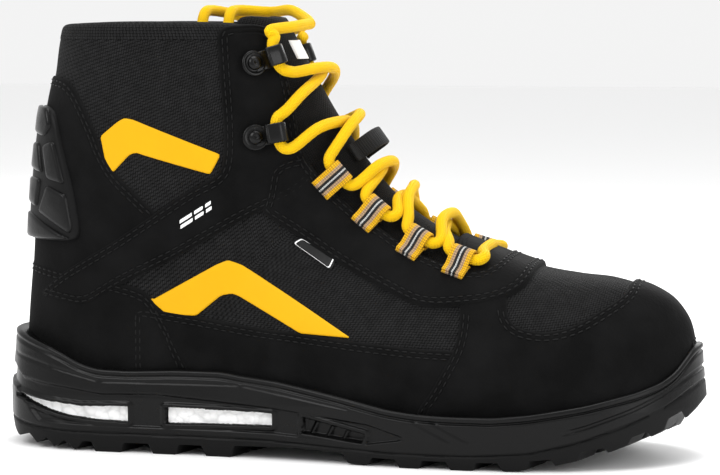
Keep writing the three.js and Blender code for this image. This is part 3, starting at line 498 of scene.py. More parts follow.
def cut_panel(loops, back, pitch=1.9):
    """Flat points, faces and distances from the edge of a panel bounded by loops."""
    edge3 = np.concatenate([surface(l, back) for l in loops])  # the border in space
    points = [np.concatenate(loops)]
    edges = []
    start = 0
    for l in loops:
        edges += [(start + i, start + (i + 1) % len(l)) for i in range(len(l))]
        start += len(l)
    for l in loops:
        into = 1 if l is loops[0] else -1
        for r in RINGS:
            q = inward(l, back, into * r)
            points.append(q[distance_to(surface(q, back), edge3) > 0.8 * r])
    low, high = loops[0].min(0), loops[0].max(0)
    gx, gy = np.meshgrid(np.arange(low[0], high[0], pitch), np.arange(low[1], high[1], pitch * ROW_RATIO))
    gx = gx + (np.arange(gx.shape[0]) % 2)[:, None] * pitch / 2
    grid = np.stack([gx.ravel(), gy.ravel()], -1)
    grid = grid[inside(grid, loops[0])]
    points.append(grid[distance_to(surface(grid, back), edge3) > RINGS[-1] + 0.7 * pitch])
    out = delaunay_2d_cdt([Vector(p) for p in np.concatenate(points).tolist()], edges, [], 0, 1e-4)
    flat = np.array([tuple(v) for v in out[0]])
    faces = np.array([f for f in out[2] if len(f) == 3])
    middle = flat[faces].mean(1)
    keep = np.zeros(len(middle), bool)
    for l in loops:
        keep ^= inside(middle, l)
    used, faces = compact(faces[keep])
    return flat[used], faces, distance_to(surface(flat[used], back), edge3)


def compact(faces):
    """The points that faces use, and the faces numbered over those alone."""
    used, index = np.unique(faces, return_inverse=True)
    return used, index.reshape(np.shape(faces))


def turned_out(verts, faces, away):
    """Faces turned so that their normals agree with the given directions."""
    a, b, c = (verts[faces[:, k]] for k in range(3))
    wrong = (np.cross(b - a, c - a) * away[faces[:, 0]]).sum(-1) < 0
    faces = faces.copy()
    faces[wrong] = faces[wrong][:, ::-1]
    return faces


CROWN_RUN = 9  # a crowned sheet reaches its full height this far from its edge


def panel(name, loops, back, low, high, material, round_edge=1.2, crown=0.0, body="shell", pitch=1.9):
    """A sheet laid on the surface from low to high, its edge rolled over."""
    flat, faces, d = cut_panel(loops, back, pitch)
    lift = low + (high - low) * round_over(d / round_edge) + crown * smooth(d / CROWN_RUN)
    verts = surface(flat, back, lift)
    faces = turned_out(verts, faces, verts - surface(flat, back, lift - 1))
    return mesh_object(name, verts, faces, material, body, uv=flat, edge=d)


# ---------------------------------------------------------------- materials
STITCH_ROWS = (1.9, 3.9)  # how far the two rows of a seam lie from a panel's edge


def grey(value):
    return value, value, value * 1.02


class Look:
    """A node material under construction. Values and sockets both go in as inputs."""

    def __init__(self, name, colour, roughness, specular=0.5, sheen=(0.0, 0.5)):
        self.material = bpy.data.materials.new(name)
        self.material.use_nodes = True
        self.tree = self.material.node_tree
        self.shader = self.tree.nodes["Principled BSDF"]
        self.material.diffuse_color = (*colour, 1)
        self.shade({"Base Color": colour, "Roughness": roughness, "Specular IOR Level": specular,
                    "Sheen Weight": sheen[0], "Sheen Roughness": sheen[1]})

    def set(self, node, inputs):
        for key, value in inputs.items():
            socket = node.inputs[key]
            if isinstance(value, bpy.types.NodeSocket):
                self.tree.links.new(value, socket)
            elif isinstance(value, tuple) and len(value) == 3 and socket.type == "RGBA":
                socket.default_value = (*value, 1)
            else:
                socket.default_value = value

    def shade(self, inputs):
        self.set(self.shader, inputs)

    def node(self, kind, out=0, inputs=None, **props):
        n = self.tree.nodes.new("ShaderNode" + kind)
        for key, value in props.items():
            setattr(n, key, value)
        self.set(n, inputs or {})
        return n.outputs[out]

    def math(self, op, a, b=0.0):
        return self.node("Math", inputs={0: a, 1: b}, operation=op)

    def times(self, a, b):
        return self.math("MULTIPLY", a, b)

    def wave(self, value):
        """Rounded ridges, one for each half turn of the value."""
        return self.math("ABSOLUTE", self.math("SINE", value))

    def pick(self, first, a, b):
        """a where first is 1, b where it is 0."""
        return self.math("ADD", self.times(a, first), self.times(b, self.math("SUBTRACT", 1.0, first)))

    def object_space(self):
        return self.node("TexCoord", out=3)

    def flat_axes(self):
        """The two flat coordinates of a panel or tape, in centimetres."""
        return self.node("SeparateXYZ", inputs={0: self.node("UVMap", uv_map="flat")}).node.outputs[:2]

    def attribute(self, name):
        return self.node("Attribute", out=2, attribute_name=name)

    def noise(self, scale, detail=3.0):
        return self.node("TexNoise", inputs={
            "Vector": self.object_space(), "Scale": scale, "Detail": detail, "Roughness": 0.55})

    def cells(self, scale):
        return self.node("TexVoronoi", inputs={"Vector": self.object_space(), "Scale": scale})

    def ramp(self, value, stops, interpolation="LINEAR"):
        n = self.tree.nodes.new("ShaderNodeValToRGB")
        self.tree.links.new(value, n.inputs[0])
        ramp = n.color_ramp
        ramp.interpolation = interpolation
        while len(ramp.elements) < len(stops):
            ramp.elements.new(0.5)
        for e, (position, c) in zip(ramp.elements, stops):
            e.position = position
            e.color = (*c, 1) if isinstance(c, tuple) else (c, c, c, 1)
        return n.outputs[0]

    def mix(self, factor, a, b):
        n = self.node("Mix", data_type="RGBA").node
        self.set(n, dict(zip((0, 6, 7), (factor, a, b))))
        return n.outputs[2]

    def colour(self, value):
        self.shade({"Base Color": value})

    def roughness(self, value):
        self.shade({"Roughness": value})

    def bump(self, height, strength, distance, under=None):
        inputs = {"Height": height, "Strength": strength, "Distance": distance}
        if under is not None:
            inputs["Normal"] = under
        normal = self.node("Bump", inputs=inputs)
        self.shade({"Normal": normal})
        return normal


def weave_height(look, pitch):
    """Height of a plain weave over the flat coordinates, thread pitch in millimetres."""
    u, v = (look.times(axis, 10 * math.pi / pitch) for axis in look.flat_axes())
    warp_up = look.math("GREATER_THAN", look.times(look.math("SINE", u), look.math("SINE", v)), 0.0)
    return look.math("POWER", look.pick(warp_up, look.wave(u), look.wave(v)), 0.6)


def make_leather():
    """Near-black nubuck, paler where its edges wear and drawn down along the seams."""
    dark, light = 0.0015, 0.0055
    look = Look("nubuck", (dark,) * 3, 0.82, 0.07, (0.01, 0.5))
    patch = look.noise(55, 4)
    edge = look.attribute("edge")
    worn = look.ramp(edge, [(0.0, 1.0), (0.5, 0.25), (1.0, 0.0)])
    base = look.mix(look.ramp(patch, [(0.35, 0.0), (0.72, 1.0)]), grey(dark), grey(light))
    look.colour(look.mix(look.times(worn, 0.5), base, (light * 2.6,) * 3))
    look.roughness(look.ramp(patch, [(0.3, 0.74), (0.75, 0.9)]))
    drawn = 0.0
    for row in STITCH_ROWS:
        away = look.times(look.math("ABSOLUTE", look.math("SUBTRACT", edge, row)), 1.4)
        drawn = look.math("MAXIMUM", look.math("SUBTRACT", 1.0, away), drawn)
    n = look.bump(look.times(drawn, -1.0), 0.5, 0.0006)
    n = look.bump(look.cells(620), 0.35, 0.00025, n)
    n = look.bump(look.noise(1500, 2), 0.45, 0.0002, n)
    look.bump(patch, 0.3, 0.0012, n)
    return look.material


def make_textile(name, pitch, dark, light):
    look = Look(name, (dark,) * 3, 0.78, 0.09, (0.01, 0.4))
    height = weave_height(look, pitch)
    # the weave's height paints the thread crests lighter and the gaps between threads darker (painted shade
    # in the weave), with random patches of tone on top
    painted_weave_shade_and_patches = look.times(height, look.ramp(look.noise(240), [(0.3, 0.78), (0.7, 1.0)]))
    look.colour(look.mix(look.ramp(painted_weave_shade_and_patches, [(0.45, 0.0), (1.0, 1.0)]), grey(dark), grey(light)))
    n = look.bump(height, 0.85, 0.00035)
    look.bump(look.noise(2600, 2), 0.3, 0.00012, n)
    return look.material


def make_lining():
    """Open mesh with small round holes."""
    look = Look("lining_mesh", (0.03, 0.03, 0.032), 0.9, 0.15, (0.04, 0.5))
    holes = look.node("TexVoronoi", inputs={
        "Vector": look.node("UVMap", uv_map="flat"), "Scale": 5.5, "Randomness": 0.15})
    dots = look.ramp(holes, [(0.12, 0.0), (0.34, 1.0)])
    # the holes are painted darker than the mesh round them: painted shade in the holes
    look.colour(look.mix(dots, (0.003, 0.003, 0.003), (0.02, 0.02, 0.021)))
    n = look.bump(dots, 0.7, 0.0004)
    look.bump(look.noise(2200, 2), 0.3, 0.00015, n)
    return look.material


def make_moulded(name, dark, roughness, grain=900, depth=0.00012, shine=0.26):
    look = Look(name, (dark,) * 3, roughness, shine)
    patch = look.noise(38, 4)
    look.colour(look.mix(patch, grey(dark * 0.8), grey(dark * 1.35)))
    look.roughness(look.ramp(patch, [(0.3, roughness - 0.07), (0.75, roughness + 0.1)]))
    n = look.bump(look.cells(grain), 0.25, depth)
    look.bump(look.noise(420), 0.2, 0.0002, n)
    return look.material


def make_film():
    look = Look("accent_film", (0.65, 0.34, 0.0), 0.5, 0.16)
    patch = look.noise(60)
    look.colour(look.mix(patch, (0.62, 0.322, 0.0), (0.67, 0.355, 0.0)))
    look.roughness(look.ramp(patch, [(0.3, 0.42), (0.7, 0.56)]))
    look.bump(look.noise(1300, 2), 0.2, 0.0001)
    return look.material


def make_beads():
    look = Look("bead_foam", (0.9, 0.9, 0.89), 0.6)
    look.shade({"Subsurface Weight": 0.12, "Subsurface Radius": (0.003, 0.003, 0.003)})
    beads = look.cells(270)
    # the beads are painted white at their middles and greyer towards the sunken seams between them: painted
    # shade between the beads
    look.colour(look.ramp(beads, [(0.0, 1.0), (0.55, 0.93), (0.85, 0.72)]))
    look.bump(look.times(beads, -1.0), 0.8, 0.0009)
    return look.material


def make_lace():
    """Round braid: fine strands crossing both ways round the cord."""
    look = Look("lace_braid", (0.98, 0.60, 0.01), 0.62, 0.12, (0.03, 0.45))
    along = look.times(look.attribute("along"), 0.62)
    around = look.attribute("around")
    a, b = (look.times(look.math(op, along, around), math.pi * 2) for op in ("ADD", "SUBTRACT"))
    over = look.math("GREATER_THAN", look.times(look.math("COSINE", a), look.math("COSINE", b)), 0.0)
    height = look.pick(over, look.wave(a), look.wave(b))
    # the strands' crests are painted bright yellow and the hollows between them darker orange: painted
    # highlight and shade on the braid
    look.colour(look.ramp(height, [
        (0.0, (0.7, 0.32, 0.0)), (0.35, (0.92, 0.52, 0.0)), (1.0, (1.0, 0.64, 0.004))]))
    n = look.bump(height, 0.8, 0.0005)
    look.bump(look.noise(2400, 2), 0.3, 0.00015, n)
    return look.material


def make_webbing(name, stops):
    """Woven tape: stripes across its width, and a rib along it."""
    look = Look(name, (0.3, 0.3, 0.3), 0.75, 0.2, (0.03, 0.5))
    across, along = look.flat_axes()
    height = look.times(look.wave(look.times(along, 52)), look.wave(look.times(across, 38)))
    # the low parts of the weave are painted up to about half way towards black: painted shade between the
    # threads and ribs
    shade = look.ramp(height, [(0.1, 0.55), (0.7, 0.0)])
    look.colour(look.mix(shade, look.ramp(across, stops, "CONSTANT"), (0.02, 0.02, 0.02)))
    look.bump(height, 0.8, 0.0003)
    return look.material


def make_enamel():
    look = Look("black_enamel", (0.003, 0.003, 0.003), 0.22, 0.14)
    look.shade({"Coat Weight": 0.1, "Coat Roughness": 0.1})
    look.roughness(look.ramp(look.noise(160), [(0.3, 0.18), (0.75, 0.36)]))
    look.bump(look.noise(700, 2), 0.12, 0.0001)
    return look.material


def make_plain(name, colour, roughness, grain=1200, shine=0.5):
    look = Look(name, colour, roughness, shine)
    darker, lighter = (tuple(min(1, by * c) for c in colour) for by in (0.85, 1.12))
    look.colour(look.mix(look.noise(90), darker, lighter))
    look.bump(look.noise(grain), 0.3, 0.0002)
    return look.material


YELLOW = (0.78, 0.42, 0.0)
BEIGE = (0.44, 0.29, 0.17)
BLACK = (0.006, 0.006, 0.006)
WHITE = (0.62, 0.62, 0.6)
STRIPES = [
    (0.0, YELLOW), (0.2, BEIGE), (0.35, BLACK), (0.465, WHITE), (0.535, BLACK), (0.65, BEIGE),
    (0.8, YELLOW),
]
NUBUCK = make_leather()
CORDURA = make_textile("cordura", 1.25, 0.001, 0.017)
TONGUE_CLOTH = make_textile("tongue_cloth", 1.0, 0.001, 0.014)
LINING = make_lining()
FILM = make_film()
GUARD_LOOK = make_moulded("guard_plastic", 0.003, 0.3, shine=0.17)
SOLE_LOOK = make_moulded("sole_skin", 0.0025, 0.32, shine=0.16)
RUBBER = make_moulded("tread_rubber", 0.003, 0.5, 700, 0.0002, shine=0.12)
BEADS = make_beads()
BRAID = make_lace()
ENAMEL = make_enamel()
GLOSS = make_moulded("black_plastic", 0.004, 0.3)
LOOP_TAPE = make_webbing("striped_tape", STRIPES)
BLACK_TAPE = make_webbing("black_tape", [(0.0, BLACK), (0.5, (0.009, 0.009, 0.009))])
THREAD = make_plain("thread", (0.006, 0.006, 0.006), 0.5, shine=0.14)
BOARD = make_plain("fibre_board", (0.42, 0.38, 0.3), 0.9)
COMPOSITE = make_plain("fibre_composite", (0.09, 0.09, 0.09), 0.5)
FOAM = make_plain("foam", (0.05, 0.05, 0.05), 0.95, 600)
FOOTBED_TOP = make_textile("footbed_cloth", 0.8, 0.03, 0.075)
PRINT = make_plain("pale_print", (0.8, 0.8, 0.8), 0.6)


# ---------------------------------------------------------------- upper: base cloth and panels
SIDES = {"outer": -1, "inner": 1}


def grid_faces(rows, cols, keep=None, wrap=False):
    """Quads over a grid of points, which wrap joins round; keep says which ones."""
    faces = []
    for i in range(rows - 1):
        for j in range(cols if wrap else cols - 1):
            if keep is None or keep[i, j]:
                k = (j + 1) % cols
                faces.append((i * cols + j, i * cols + k, (i + 1) * cols + k, (i + 1) * cols + j))
    return faces


def part_of_grid(hit):
    """Quads of a wrapped grid where all four corners count."""
    near = np.roll(hit, -1, 1)
    return grid_faces(*hit.shape, hit[:-1] & hit[1:] & near[:-1] & near[1:], wrap=True)


def closed_tube(rows, cols, wrap=True):
    """Faces of a tube of rows of points, with a cap at each end."""
    first, last = range(cols), range((rows - 1) * cols, rows * cols)
    return grid_faces(rows, cols, wrap=wrap) + [tuple(first)[::-1], tuple(last)]


def fix_normals(obj):
    bm = bmesh.new()
    bm.from_mesh(obj.data)
    bmesh.ops.recalc_face_normals(bm, faces=bm.faces)
    bm.to_mesh(obj.data)
    bm.free()


THROAT = [(-38, 230), *THROAT_EDGE, (71, 100), (120, 160), (60, 260)]
TONGUE_CUT = [(-56, 240), *TONGUE_EDGE, (120, 160), (60, 260)]
CLOTH_CUT = grown_loop(THROAT, 1.6)
LINING_CUT = grown_loop(TONGUE_CUT, 2.2)


def shell_grid(name, lift, keep_where, material, replaced, rows=300, cols=150):
    """The whole foot surface at a lift, less the cells outside a side-view test."""
    angles = np.linspace(FIRST, ROW_END, rows)
    shares = np.linspace(0, 1, cols)
    shares = shares - 0.25 * np.sin(2 * np.pi * shares) / (2 * np.pi)  # closer at both ends
    a = np.repeat(angles[:, None], 2 * cols - 2, 1)
    v = np.repeat(np.concatenate([shares, shares[::-1][1:-1]])[None], rows, 0)
    side = np.ones_like(a)
    side[:, :cols] = -1
    turn = both(TURNS, a, v, side)
    p = foot_point(a, turn, side)
    depth = lift(p[..., 0], p[..., 2])
    verts = p + foot_normal(a, turn, side) * depth[..., None]
    uv = np.stack([a * ANGLE_SCALE, side * (1 - v) * total_arc(a, side)], -1)
    keep = keep_where(p[..., 0].ravel(), p[..., 2].ravel()).reshape(p.shape[:2])
    used, faces = compact(np.array(part_of_grid(keep))[:, ::-1])
    obj = mesh_object(name, verts.reshape(-1, 3)[used], faces, material, uv=uv.reshape(-1, 2)[used])
    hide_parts(*replaced)
    return obj


def cloth_area(x, z):
    pts = np.stack([x, z], -1)
    return ~inside(pts, CLOTH_CUT) & (z < COLLAR_Z - 1.5) & (z > line_at(FLOOR, x))


def lining_depth(_x, z):
    """The lining lies deeper behind the padding of the shaft."""
    return -(5.6 + 5.0 * smooth((z - 116) / 30) + 0.5 * np.sin(np.clip((z - 120) / 62, 0, 1) * np.pi))


def lining_area(x, z):
    pts = np.stack([x + 0.07 * np.clip(z - 84, 0, 110), z], -1)
    return ~inside(pts, LINING_CUT) & (z < COLLAR_Z - 3) & (z > line_at(FLOOR, x) + 4)


cloth = shell_grid("base_cloth", lambda x, _z: 0 * x, cloth_area, CORDURA,
                   ["vamp_textile", "quarter_textile_outer", "quarter_textile_inner", "shaft_textile"])
liner = shell_grid("lining_cloth", lining_depth, lining_area, LINING, ["lining"])


PADDING = 11.1  # from the outside of the collar in to its lining


def collar_rim():
    """The padded top edge: cloth rolled from the outside over the foam to the lining.

    Its profile is in (depth, height), and each column of it stands at a share of the way forward.
    """
    turn = np.linspace(0, np.pi, 15)
    roll = np.stack([0.3 - PADDING * (1 - np.cos(turn)) / 2, 182.2 + 3.8 * np.sin(turn) ** 0.8], -1)
    profile = np.array([(0.25, 178.5), (0.3, 181.5), *roll, (-10.9, 179), (-10.9, 174.5)])
    depth, z = profile.T
    heel = line_at([(163, -133), (176, -131), (188, -128), (203, -125)], z)
    outer_front = line_at([(177, -30), (185.5, -34.5)], z) - 2.0
    inner_front = line_at([(172, -47), (186.5, -52)], z) - 1.0 - 0.07 * (z - 84)
    blend = smooth(-depth / 9)
    front = outer_front * (1 - blend) + inner_front * blend
    shares = np.sin(np.linspace(0, np.pi / 2, 90)) ** 1.7
    columns = [(-1, share) for share in shares[::-1]] + [(1, share) for share in shares[1:]]
    verts = [at_side(heel + (front - heel) * share, z, side, depth)[0] for side, share in columns]
    down = run_length(profile)
    uv = [np.stack([np.full(len(z), i * 1.3), down], -1) for i in range(len(columns))]
    obj = mesh_object("collar_rim", np.concatenate(verts), closed_tube(len(verts), len(z), wrap=False),
                      CORDURA, uv=np.concatenate(uv))
    fix_normals(obj)


collar_rim()

RAND = [
    (-90, 64), (-75, 62), (-58, 59.5), (-34, 56), (-11, 54), (9, 52), (33, 50), (64, 49),
    (64, 12), (-90, 16),
]
BACKSTAY = [
    (-170, 163), (-132, 162.5), (-121, 161.5), (-115, 156), (-110, 147), (-106, 139), (-103, 131),
    (-97, 121), (-88, 113), (-74, 100), (-90, 78), (-124, 62), (-170, 62),
]
ANKLE = [
    (-52.3, 184.4), (-51, 166), (-49, 141), (-49, 129), (-50.5, 121), (-63, 115), (-78, 105),
    (-98, 92), (-124, 77), (-138, 66), (-112, 62), (-94, 73), (-71, 84), (-45, 99), (-34, 105),
    (-18, 112), (-10, 120.5), *THROAT_EDGE[5::-1],
]
HEEL_COVER = [
    (-170, 83), (-142, 80.5), (-122, 77.5), (-106, 75.5), (-89, 72), (-82, 69), (-76, 60),
    (-72, 52), (-65, 39), (-60, 24), (-60, 16), (-170, 26),
]
TOE_OVERLAY = [
    (45, 110), (50, 84), (55, 66), (55, 57), (53, 49), (48, 40), (43, 31), (38, 25), (34, 12),
    (60, 12), (86, 15), (108, 20), (128, 26), (140, 30), (150, 35), (180, 38), (180, 120), (60, 120),
]
VAMP_WINDOW = [
    (72, 96), (73, 80), (74, 68), (75, 63), (79, 59), (88, 57), (97, 58), (105, 61), (113, 66),
    (119, 69.5), (123, 73), (124, 96),
]
LACE_STAY = [
    (-34, 105), (-32, 110), (-31, 115), (-30.5, 121), (-29, 124), (-26, 126.5), (-22, 128),
    (-16, 129), *THROAT_EDGE[5:], (84, 92), (84, 86), (83, 78), (79.5, 73.5), (73, 70), (64, 67.7),
    (56, 67), (45, 66), (35, 67), (17, 75), (-1, 84), (-20, 96),
]
GUARD_AREA = [
    (-170, 149.5), (-128, 149), (-124.5, 142), (-123, 135), (-118, 118), (-116, 110), (-113.5, 96),
    (-115, 91), (-170, 89.5),
]
UPPER_ACCENT = [
    (-103.5, 137), (-95, 143.5), (-92, 145), (-88, 144.3), (-50, 129.5), (-54.5, 120.8),
    (-84, 129), (-87, 130), (-90, 129), (-100, 119),
]
LOWER_ACCENT = [
    (-84, 68), (-80, 67), (-52, 82.5), (-47, 84.5), (-41, 82.5), (9, 53), (-14, 54), (-42, 69),
    (-45, 70), (-50, 69), (-61, 60), (-74, 60),
]
TONGUE_TRIM = 2.6
SIDE_TAG = [(-20, 92), (-16.5, 94.2), (0, 85.3), (-2, 80.3)]
GUARD_PADS = [
    [(-136, 149), (-128.5, 148.5), (-126.2, 140.5), (-130, 135.5), (-137, 137)],
    [(-125, 134.5), (-119.5, 115.5), (-128.5, 117.5), (-130.8, 132)],
    [(-137.3, 133), (-133.2, 133.2), (-130.8, 119.5), (-139, 121.5)],
    [(-128.5, 115), (-119, 111.5), (-116, 96), (-117.5, 94.3), (-133.5, 103)],
    [(-139.4, 118), (-132, 117.4), (-134.5, 104.6), (-140.4, 106.5)],
    [(-141.2, 102.8), (-137, 101.6), (-117, 91.8), (-141.6, 91)],
]

TUCK = -0.3  # a panel's rolled edge ends just under the cloth
DEEP_TUCK = -1.2  # where the cloth under it ends first
FILM_TOP = 0.75
GUARD_PLATE = (1.0, 3.3)
GUARD_FACET = (3.0, 4.7)
stitched = []


def sewn(loops, back, keep, level, rows=STITCH_ROWS):
    """Stitch rows follow the loops inward at a level over the cloth, where keep says so in space."""
    for loop in loops:
        for r in rows:
            stitched.append((inward(loop, back, r), back, keep, level))


def above_sole(p):
    """Points in space that the sole's rim leaves in view."""
    return p[:, 2] > line_at(RIM_LINE, p[:, 0]) + 0.5


# a panel's low and high are the levels of its edge and its face over the cloth
def side_panels(name, outline, low, high, material, replaced, slot, keep=above_sole,
                rows=STITCH_ROWS, cut=6.0, **shape):
    for half, side in SIDES.items():
        loops = [flat_loop(outline, side, False, cut)]
        obj = panel(f"{name}_{half}", loops, False, low, high, material, **shape)
        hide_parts(f"{replaced}_{half}")
        sewn(loops, False, keep, high, rows)


side_panels("side_rand", RAND, TUCK, 1.1, NUBUCK, "rand", "leather")
side_panels("accent_upper_film", UPPER_ACCENT, TUCK, FILM_TOP, FILM, "accent_upper", "accent_film",
            rows=(), cut=1.0, round_edge=0.5)
side_panels("accent_lower_film", LOWER_ACCENT, TUCK, FILM_TOP, FILM, "accent_lower", "accent_film",
            rows=(), cut=1.0, round_edge=0.5)


def wrapped_panel(name, outline, back, low, high, material, replaced, slot, keep=above_sole,
                  holes=(), **shape):
    loops = [flat_loop(loop, 0, back) for loop in (outline, *holes)]
    obj = panel(name, loops, back, low, high, material, **shape)
    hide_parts(*replaced)
    sewn(loops[:1], back, keep, high)
    sewn(loops[1:], back, keep, high, [-r for r in STITCH_ROWS])


wrapped_panel("back_stay", BACKSTAY, True, TUCK, 1.1, NUBUCK, ["backstay"], "leather",
              keep=lambda p: p[:, 2] > 100 + (p[:, 0] + 90) * 0.5)
wrapped_panel("heel_panel", HEEL_COVER, True, TUCK, 1.3, NUBUCK, ["heel_cover"], "leather")
side_panels("ankle_strap", ANKLE, DEEP_TUCK, 1.75, NUBUCK, "ankle_panel", "leather",
            keep=lambda p: above_sole(p) & (p[:, 2] < 181))
wrapped_panel("toe_panel", TOE_OVERLAY, False, TUCK, 1.6, NUBUCK, ["toe_overlay"], "leather",
              holes=[VAMP_WINDOW], keep=lambda p: above_sole(p) & ~((p[:, 0] < 84) & (p[:, 2] > 66)))
wrapped_panel("lacing_panel", LACE_STAY, False, DEEP_TUCK, 2.1, NUBUCK, ["lace_stay"], "leather")


def guard():
    """The heel guard: a plate round the heel, and raised facets on it."""
    loops = [flat_loop(GUARD_AREA, 0, True)]
    plate = panel("heel_guard_plate", loops, True, *GUARD_PLATE, RUBBER, round_edge=2.4, crown=0.4)
    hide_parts("heel_guard")
    for i, pad in enumerate(GUARD_PADS):
        for half, side in SIDES.items():
            piece = panel(f"guard_facet_{i + 1}_{half}", [flat_loop(pad, side, True, 1.6)], True,
                          *GUARD_FACET, GUARD_LOOK, round_edge=1.1, crown=0.5, pitch=1.4)


guard()


TAG_RINGS = (0.9, 0.84)
STRAP_BARS = [(6.2, 0.0), (4.4, 7.4), (2.8, 13.0)]  # length of a bar, and its shift along the strap
STRAP_CORNER = np.array([-67, 97.4])
STRAP_ALONG = unit(np.array([19, 12.0]))


def tags():
    """The side tag with its printed border, and the printed bars on the ankle strap."""
    tag = panel("side_tag_plate", [flat_loop(SIDE_TAG, -1, False, 1.2)], False, -0.2, 0.9, GLOSS,
                round_edge=0.4)
    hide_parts("side_tag")
    p = resample(rounded(SIDE_TAG, 1.2), 0.5)
    middle = p.mean(0)
    rings = [at_side(*(middle + (p - middle) * s).T, -1, 1.2)[0] for s in TAG_RINGS]
    line = mesh_object("side_tag_border", np.concatenate(rings), grid_faces(2, len(p), wrap=True), PRINT)
    # plain slanted bars stand where a maker's word would be
    up = np.array([-STRAP_ALONG[1], STRAP_ALONG[0]])
    for i, (length, shift) in enumerate(STRAP_BARS):
        for k in range(2):
            a = STRAP_CORNER + STRAP_ALONG * (shift + 0.9 * k) + up * (0.3 + 2.1 * k)
            slant = STRAP_ALONG * 0.8 + up * 1.3
            quad = [a, a + STRAP_ALONG * length, a + STRAP_ALONG * length + slant, a + slant]
            x, z = resample(np.array(quad), 0.7).T
            bar = mesh_object(f"strap_bar_{i + 1}_{k + 1}", at_side(x, z, -1, 1.84)[0],
                              [tuple(range(len(x)))], PRINT)


tags()


# ---------------------------------------------------------------- tongue
HEM_DROP = 1.4
TONGUE_INNER_TAPER = 11.0
TONGUE_OUTER_ROUND = 3.2


def tongue():
    """A padded sheet that thins from its inner face towards its hem."""
    narrowed = [(x + TONGUE_TRIM, z + 0.4 * TONGUE_TRIM) for x, z in TONGUE_EDGE[1:]]
    outline = [(20, 189), (-44, 189), *narrowed, (120, 150)]
    flat, faces, d = cut_panel([flat_loop(outline, 0, False)], False)
    outer = -TEXTILE - SEAM
    inner = outer - TONGUE
    hem = outer - HEM_DROP
    puff = smooth(d / 14)
    outside = hem + (outer - hem) * round_over(d / TONGUE_OUTER_ROUND)
    top = surface(flat, False, outside + 0.18 * puff)
    bottom = surface(flat, False, hem + (inner - hem) * round_over(d / TONGUE_INNER_TAPER) - 0.6 * puff)
    away = top - surface(flat, False, outside - 1)
    # the two faces share the points of the border
    lower = np.where(d < 0.05, 0, len(flat)) + np.arange(len(flat))
    sheets = np.concatenate([turned_out(top, faces, away), lower[turned_out(bottom, faces, -away)]])
    used, sheets = compact(sheets)
    obj = mesh_object("tongue_pad", np.concatenate([top, bottom])[used], sheets, TONGUE_CLOTH,
                      "tongue", uv=np.concatenate([flat, flat])[used])
    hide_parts("tongue")


tongue()


# ---------------------------------------------------------------- frames of the fittings
def seat_at(spot, slope, side):
    """Point, normal n, u up the facing edge and f towards the throat, at a side-view spot."""
    p, n = at_side(*spot, side)
    q, _ = at_side(spot[0] - 2 * slope[0], spot[1] + 2 * slope[1], side)
    u = unit(q - p - n * (q - p).dot(n))
    f = unit(np.cross(u, n))
    return p, n, u, -f if f[1] * side > 0 else f


def arc(centre, r, start, end, steps):
    a = np.radians(np.linspace(start, end, steps + 1))
    return np.stack([centre[0] + r * np.cos(a), centre[1] + r * np.sin(a)], -1).tolist()


SEAT = LEATHER_TOP + GAP
ROOM = LACE / 2 + LACE_FIT
LOOP_CENTRE = (LOOP_REACH, SEAT + 1.5)
HOOK_CENTRE = (0, SEAT + HOOK_SHEET + ROOM)
HOOK_ROWS = len(HOOK_SPOTS)
ROW_SPOTS = [*HOOK_SPOTS, *LOOP_SPOTS]
ROW_SLOPES = [*HOOK_SLOPES, *LOOP_SLOPES]
ROW_NAMES = ["hook_{}_1", "hook_{}_2", "loop_{}_1", "loop_{}_2", "loop_{}_3", "loop_{}_4"]
seats = {name.format(half): seat_at(spot, slope, side) for half, side in SIDES.items()
         for name, spot, slope in zip(ROW_NAMES, ROW_SPOTS, ROW_SLOPES)}


def ribbon(name, line, width, sheet, seat, material, body="shell"):
    """A tape of some width along a line of (f, n) points in a seat's frame, with rounded edges."""
    p, n, u, f = seat
    c = resample(np.array(line, float), 0.5, closed=False)
    t = np.gradient(c, axis=0)
    t /= np.linalg.norm(t, axis=1)[:, None]
    normals = np.stack([-t[:, 1], t[:, 0]], -1)
    edge = sheet / 2
    profile = [*arc((width / 2 - edge, 0), edge, -90, 90, 4), *arc((edge - width / 2, 0), edge, 90, 270, 4)]
    verts, uv = [], []
    for q, normal, s in zip(c, normals, run_length(c)):
        for along, out in profile:
            w = q + normal * out
            verts.append(p + f * w[0] + n * w[1] + u * along)
            uv.append(((along / width + 0.5) * 10, s * 0.55))
    obj = mesh_object(name, verts, closed_tube(len(c), len(profile)), material, body, uv=uv)
    fix_normals(obj)
    return obj


def loops():
    """Webbing loops: the tape is folded round the lace and its two ends are sewn down flat."""
    r = ROOM + WEBBING / 2
    line = [(-5.2, SEAT + 0.2), (-1.0, SEAT + 0.2), (LOOP_CENTRE[0] - r * 0.86, SEAT + 0.3),
            *arc(LOOP_CENTRE, r, 208, 488, 22), (-1.0, SEAT + 0.4 + WEBBING), (-4.6, SEAT + 0.3 + WEBBING)]
    for half in SIDES:
        for row in ROW_NAMES[HOOK_ROWS:]:
            key = row.format(half)
            tape = ribbon(f"tape_{key}", line, WEBBING_WIDTH, WEBBING * 0.9, seats[key], LOOP_TAPE)
            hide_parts(key)


loops()


def keeper():
    """The band across the tongue that the lace passes under."""
    angle = np.array(angle_of(*BAND_SPOT))
    across = np.array([0, 1.0, 0])
    n = foot_normal(angle, np.array(0.0), -1)
    seat = (foot_point(angle, 0.0, -1), n, np.cross(n, across), across)
    half = (BAND_SPAN - BAND_SHEET) / 2
    foot = -TEXTILE - SEAM + GAP
    top = foot + BAND_HEIGHT - BAND_SHEET / 2
    end = [(half + 3.4, foot - 1.2), (half + 0.9, foot - 0.2), (half, foot + 1.2)]
    over = [(half * math.cos(a), top - 4 + 4 * math.sin(a)) for a in np.linspace(0, math.pi, 17)]
    line = [*end, *over, *((-x, z) for x, z in end[::-1])]
    tape = ribbon("keeper_tape", line, BAND_WIDTH, BAND_SHEET, seat, BLACK_TAPE, "tongue")
    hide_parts("keeper_band")


keeper()


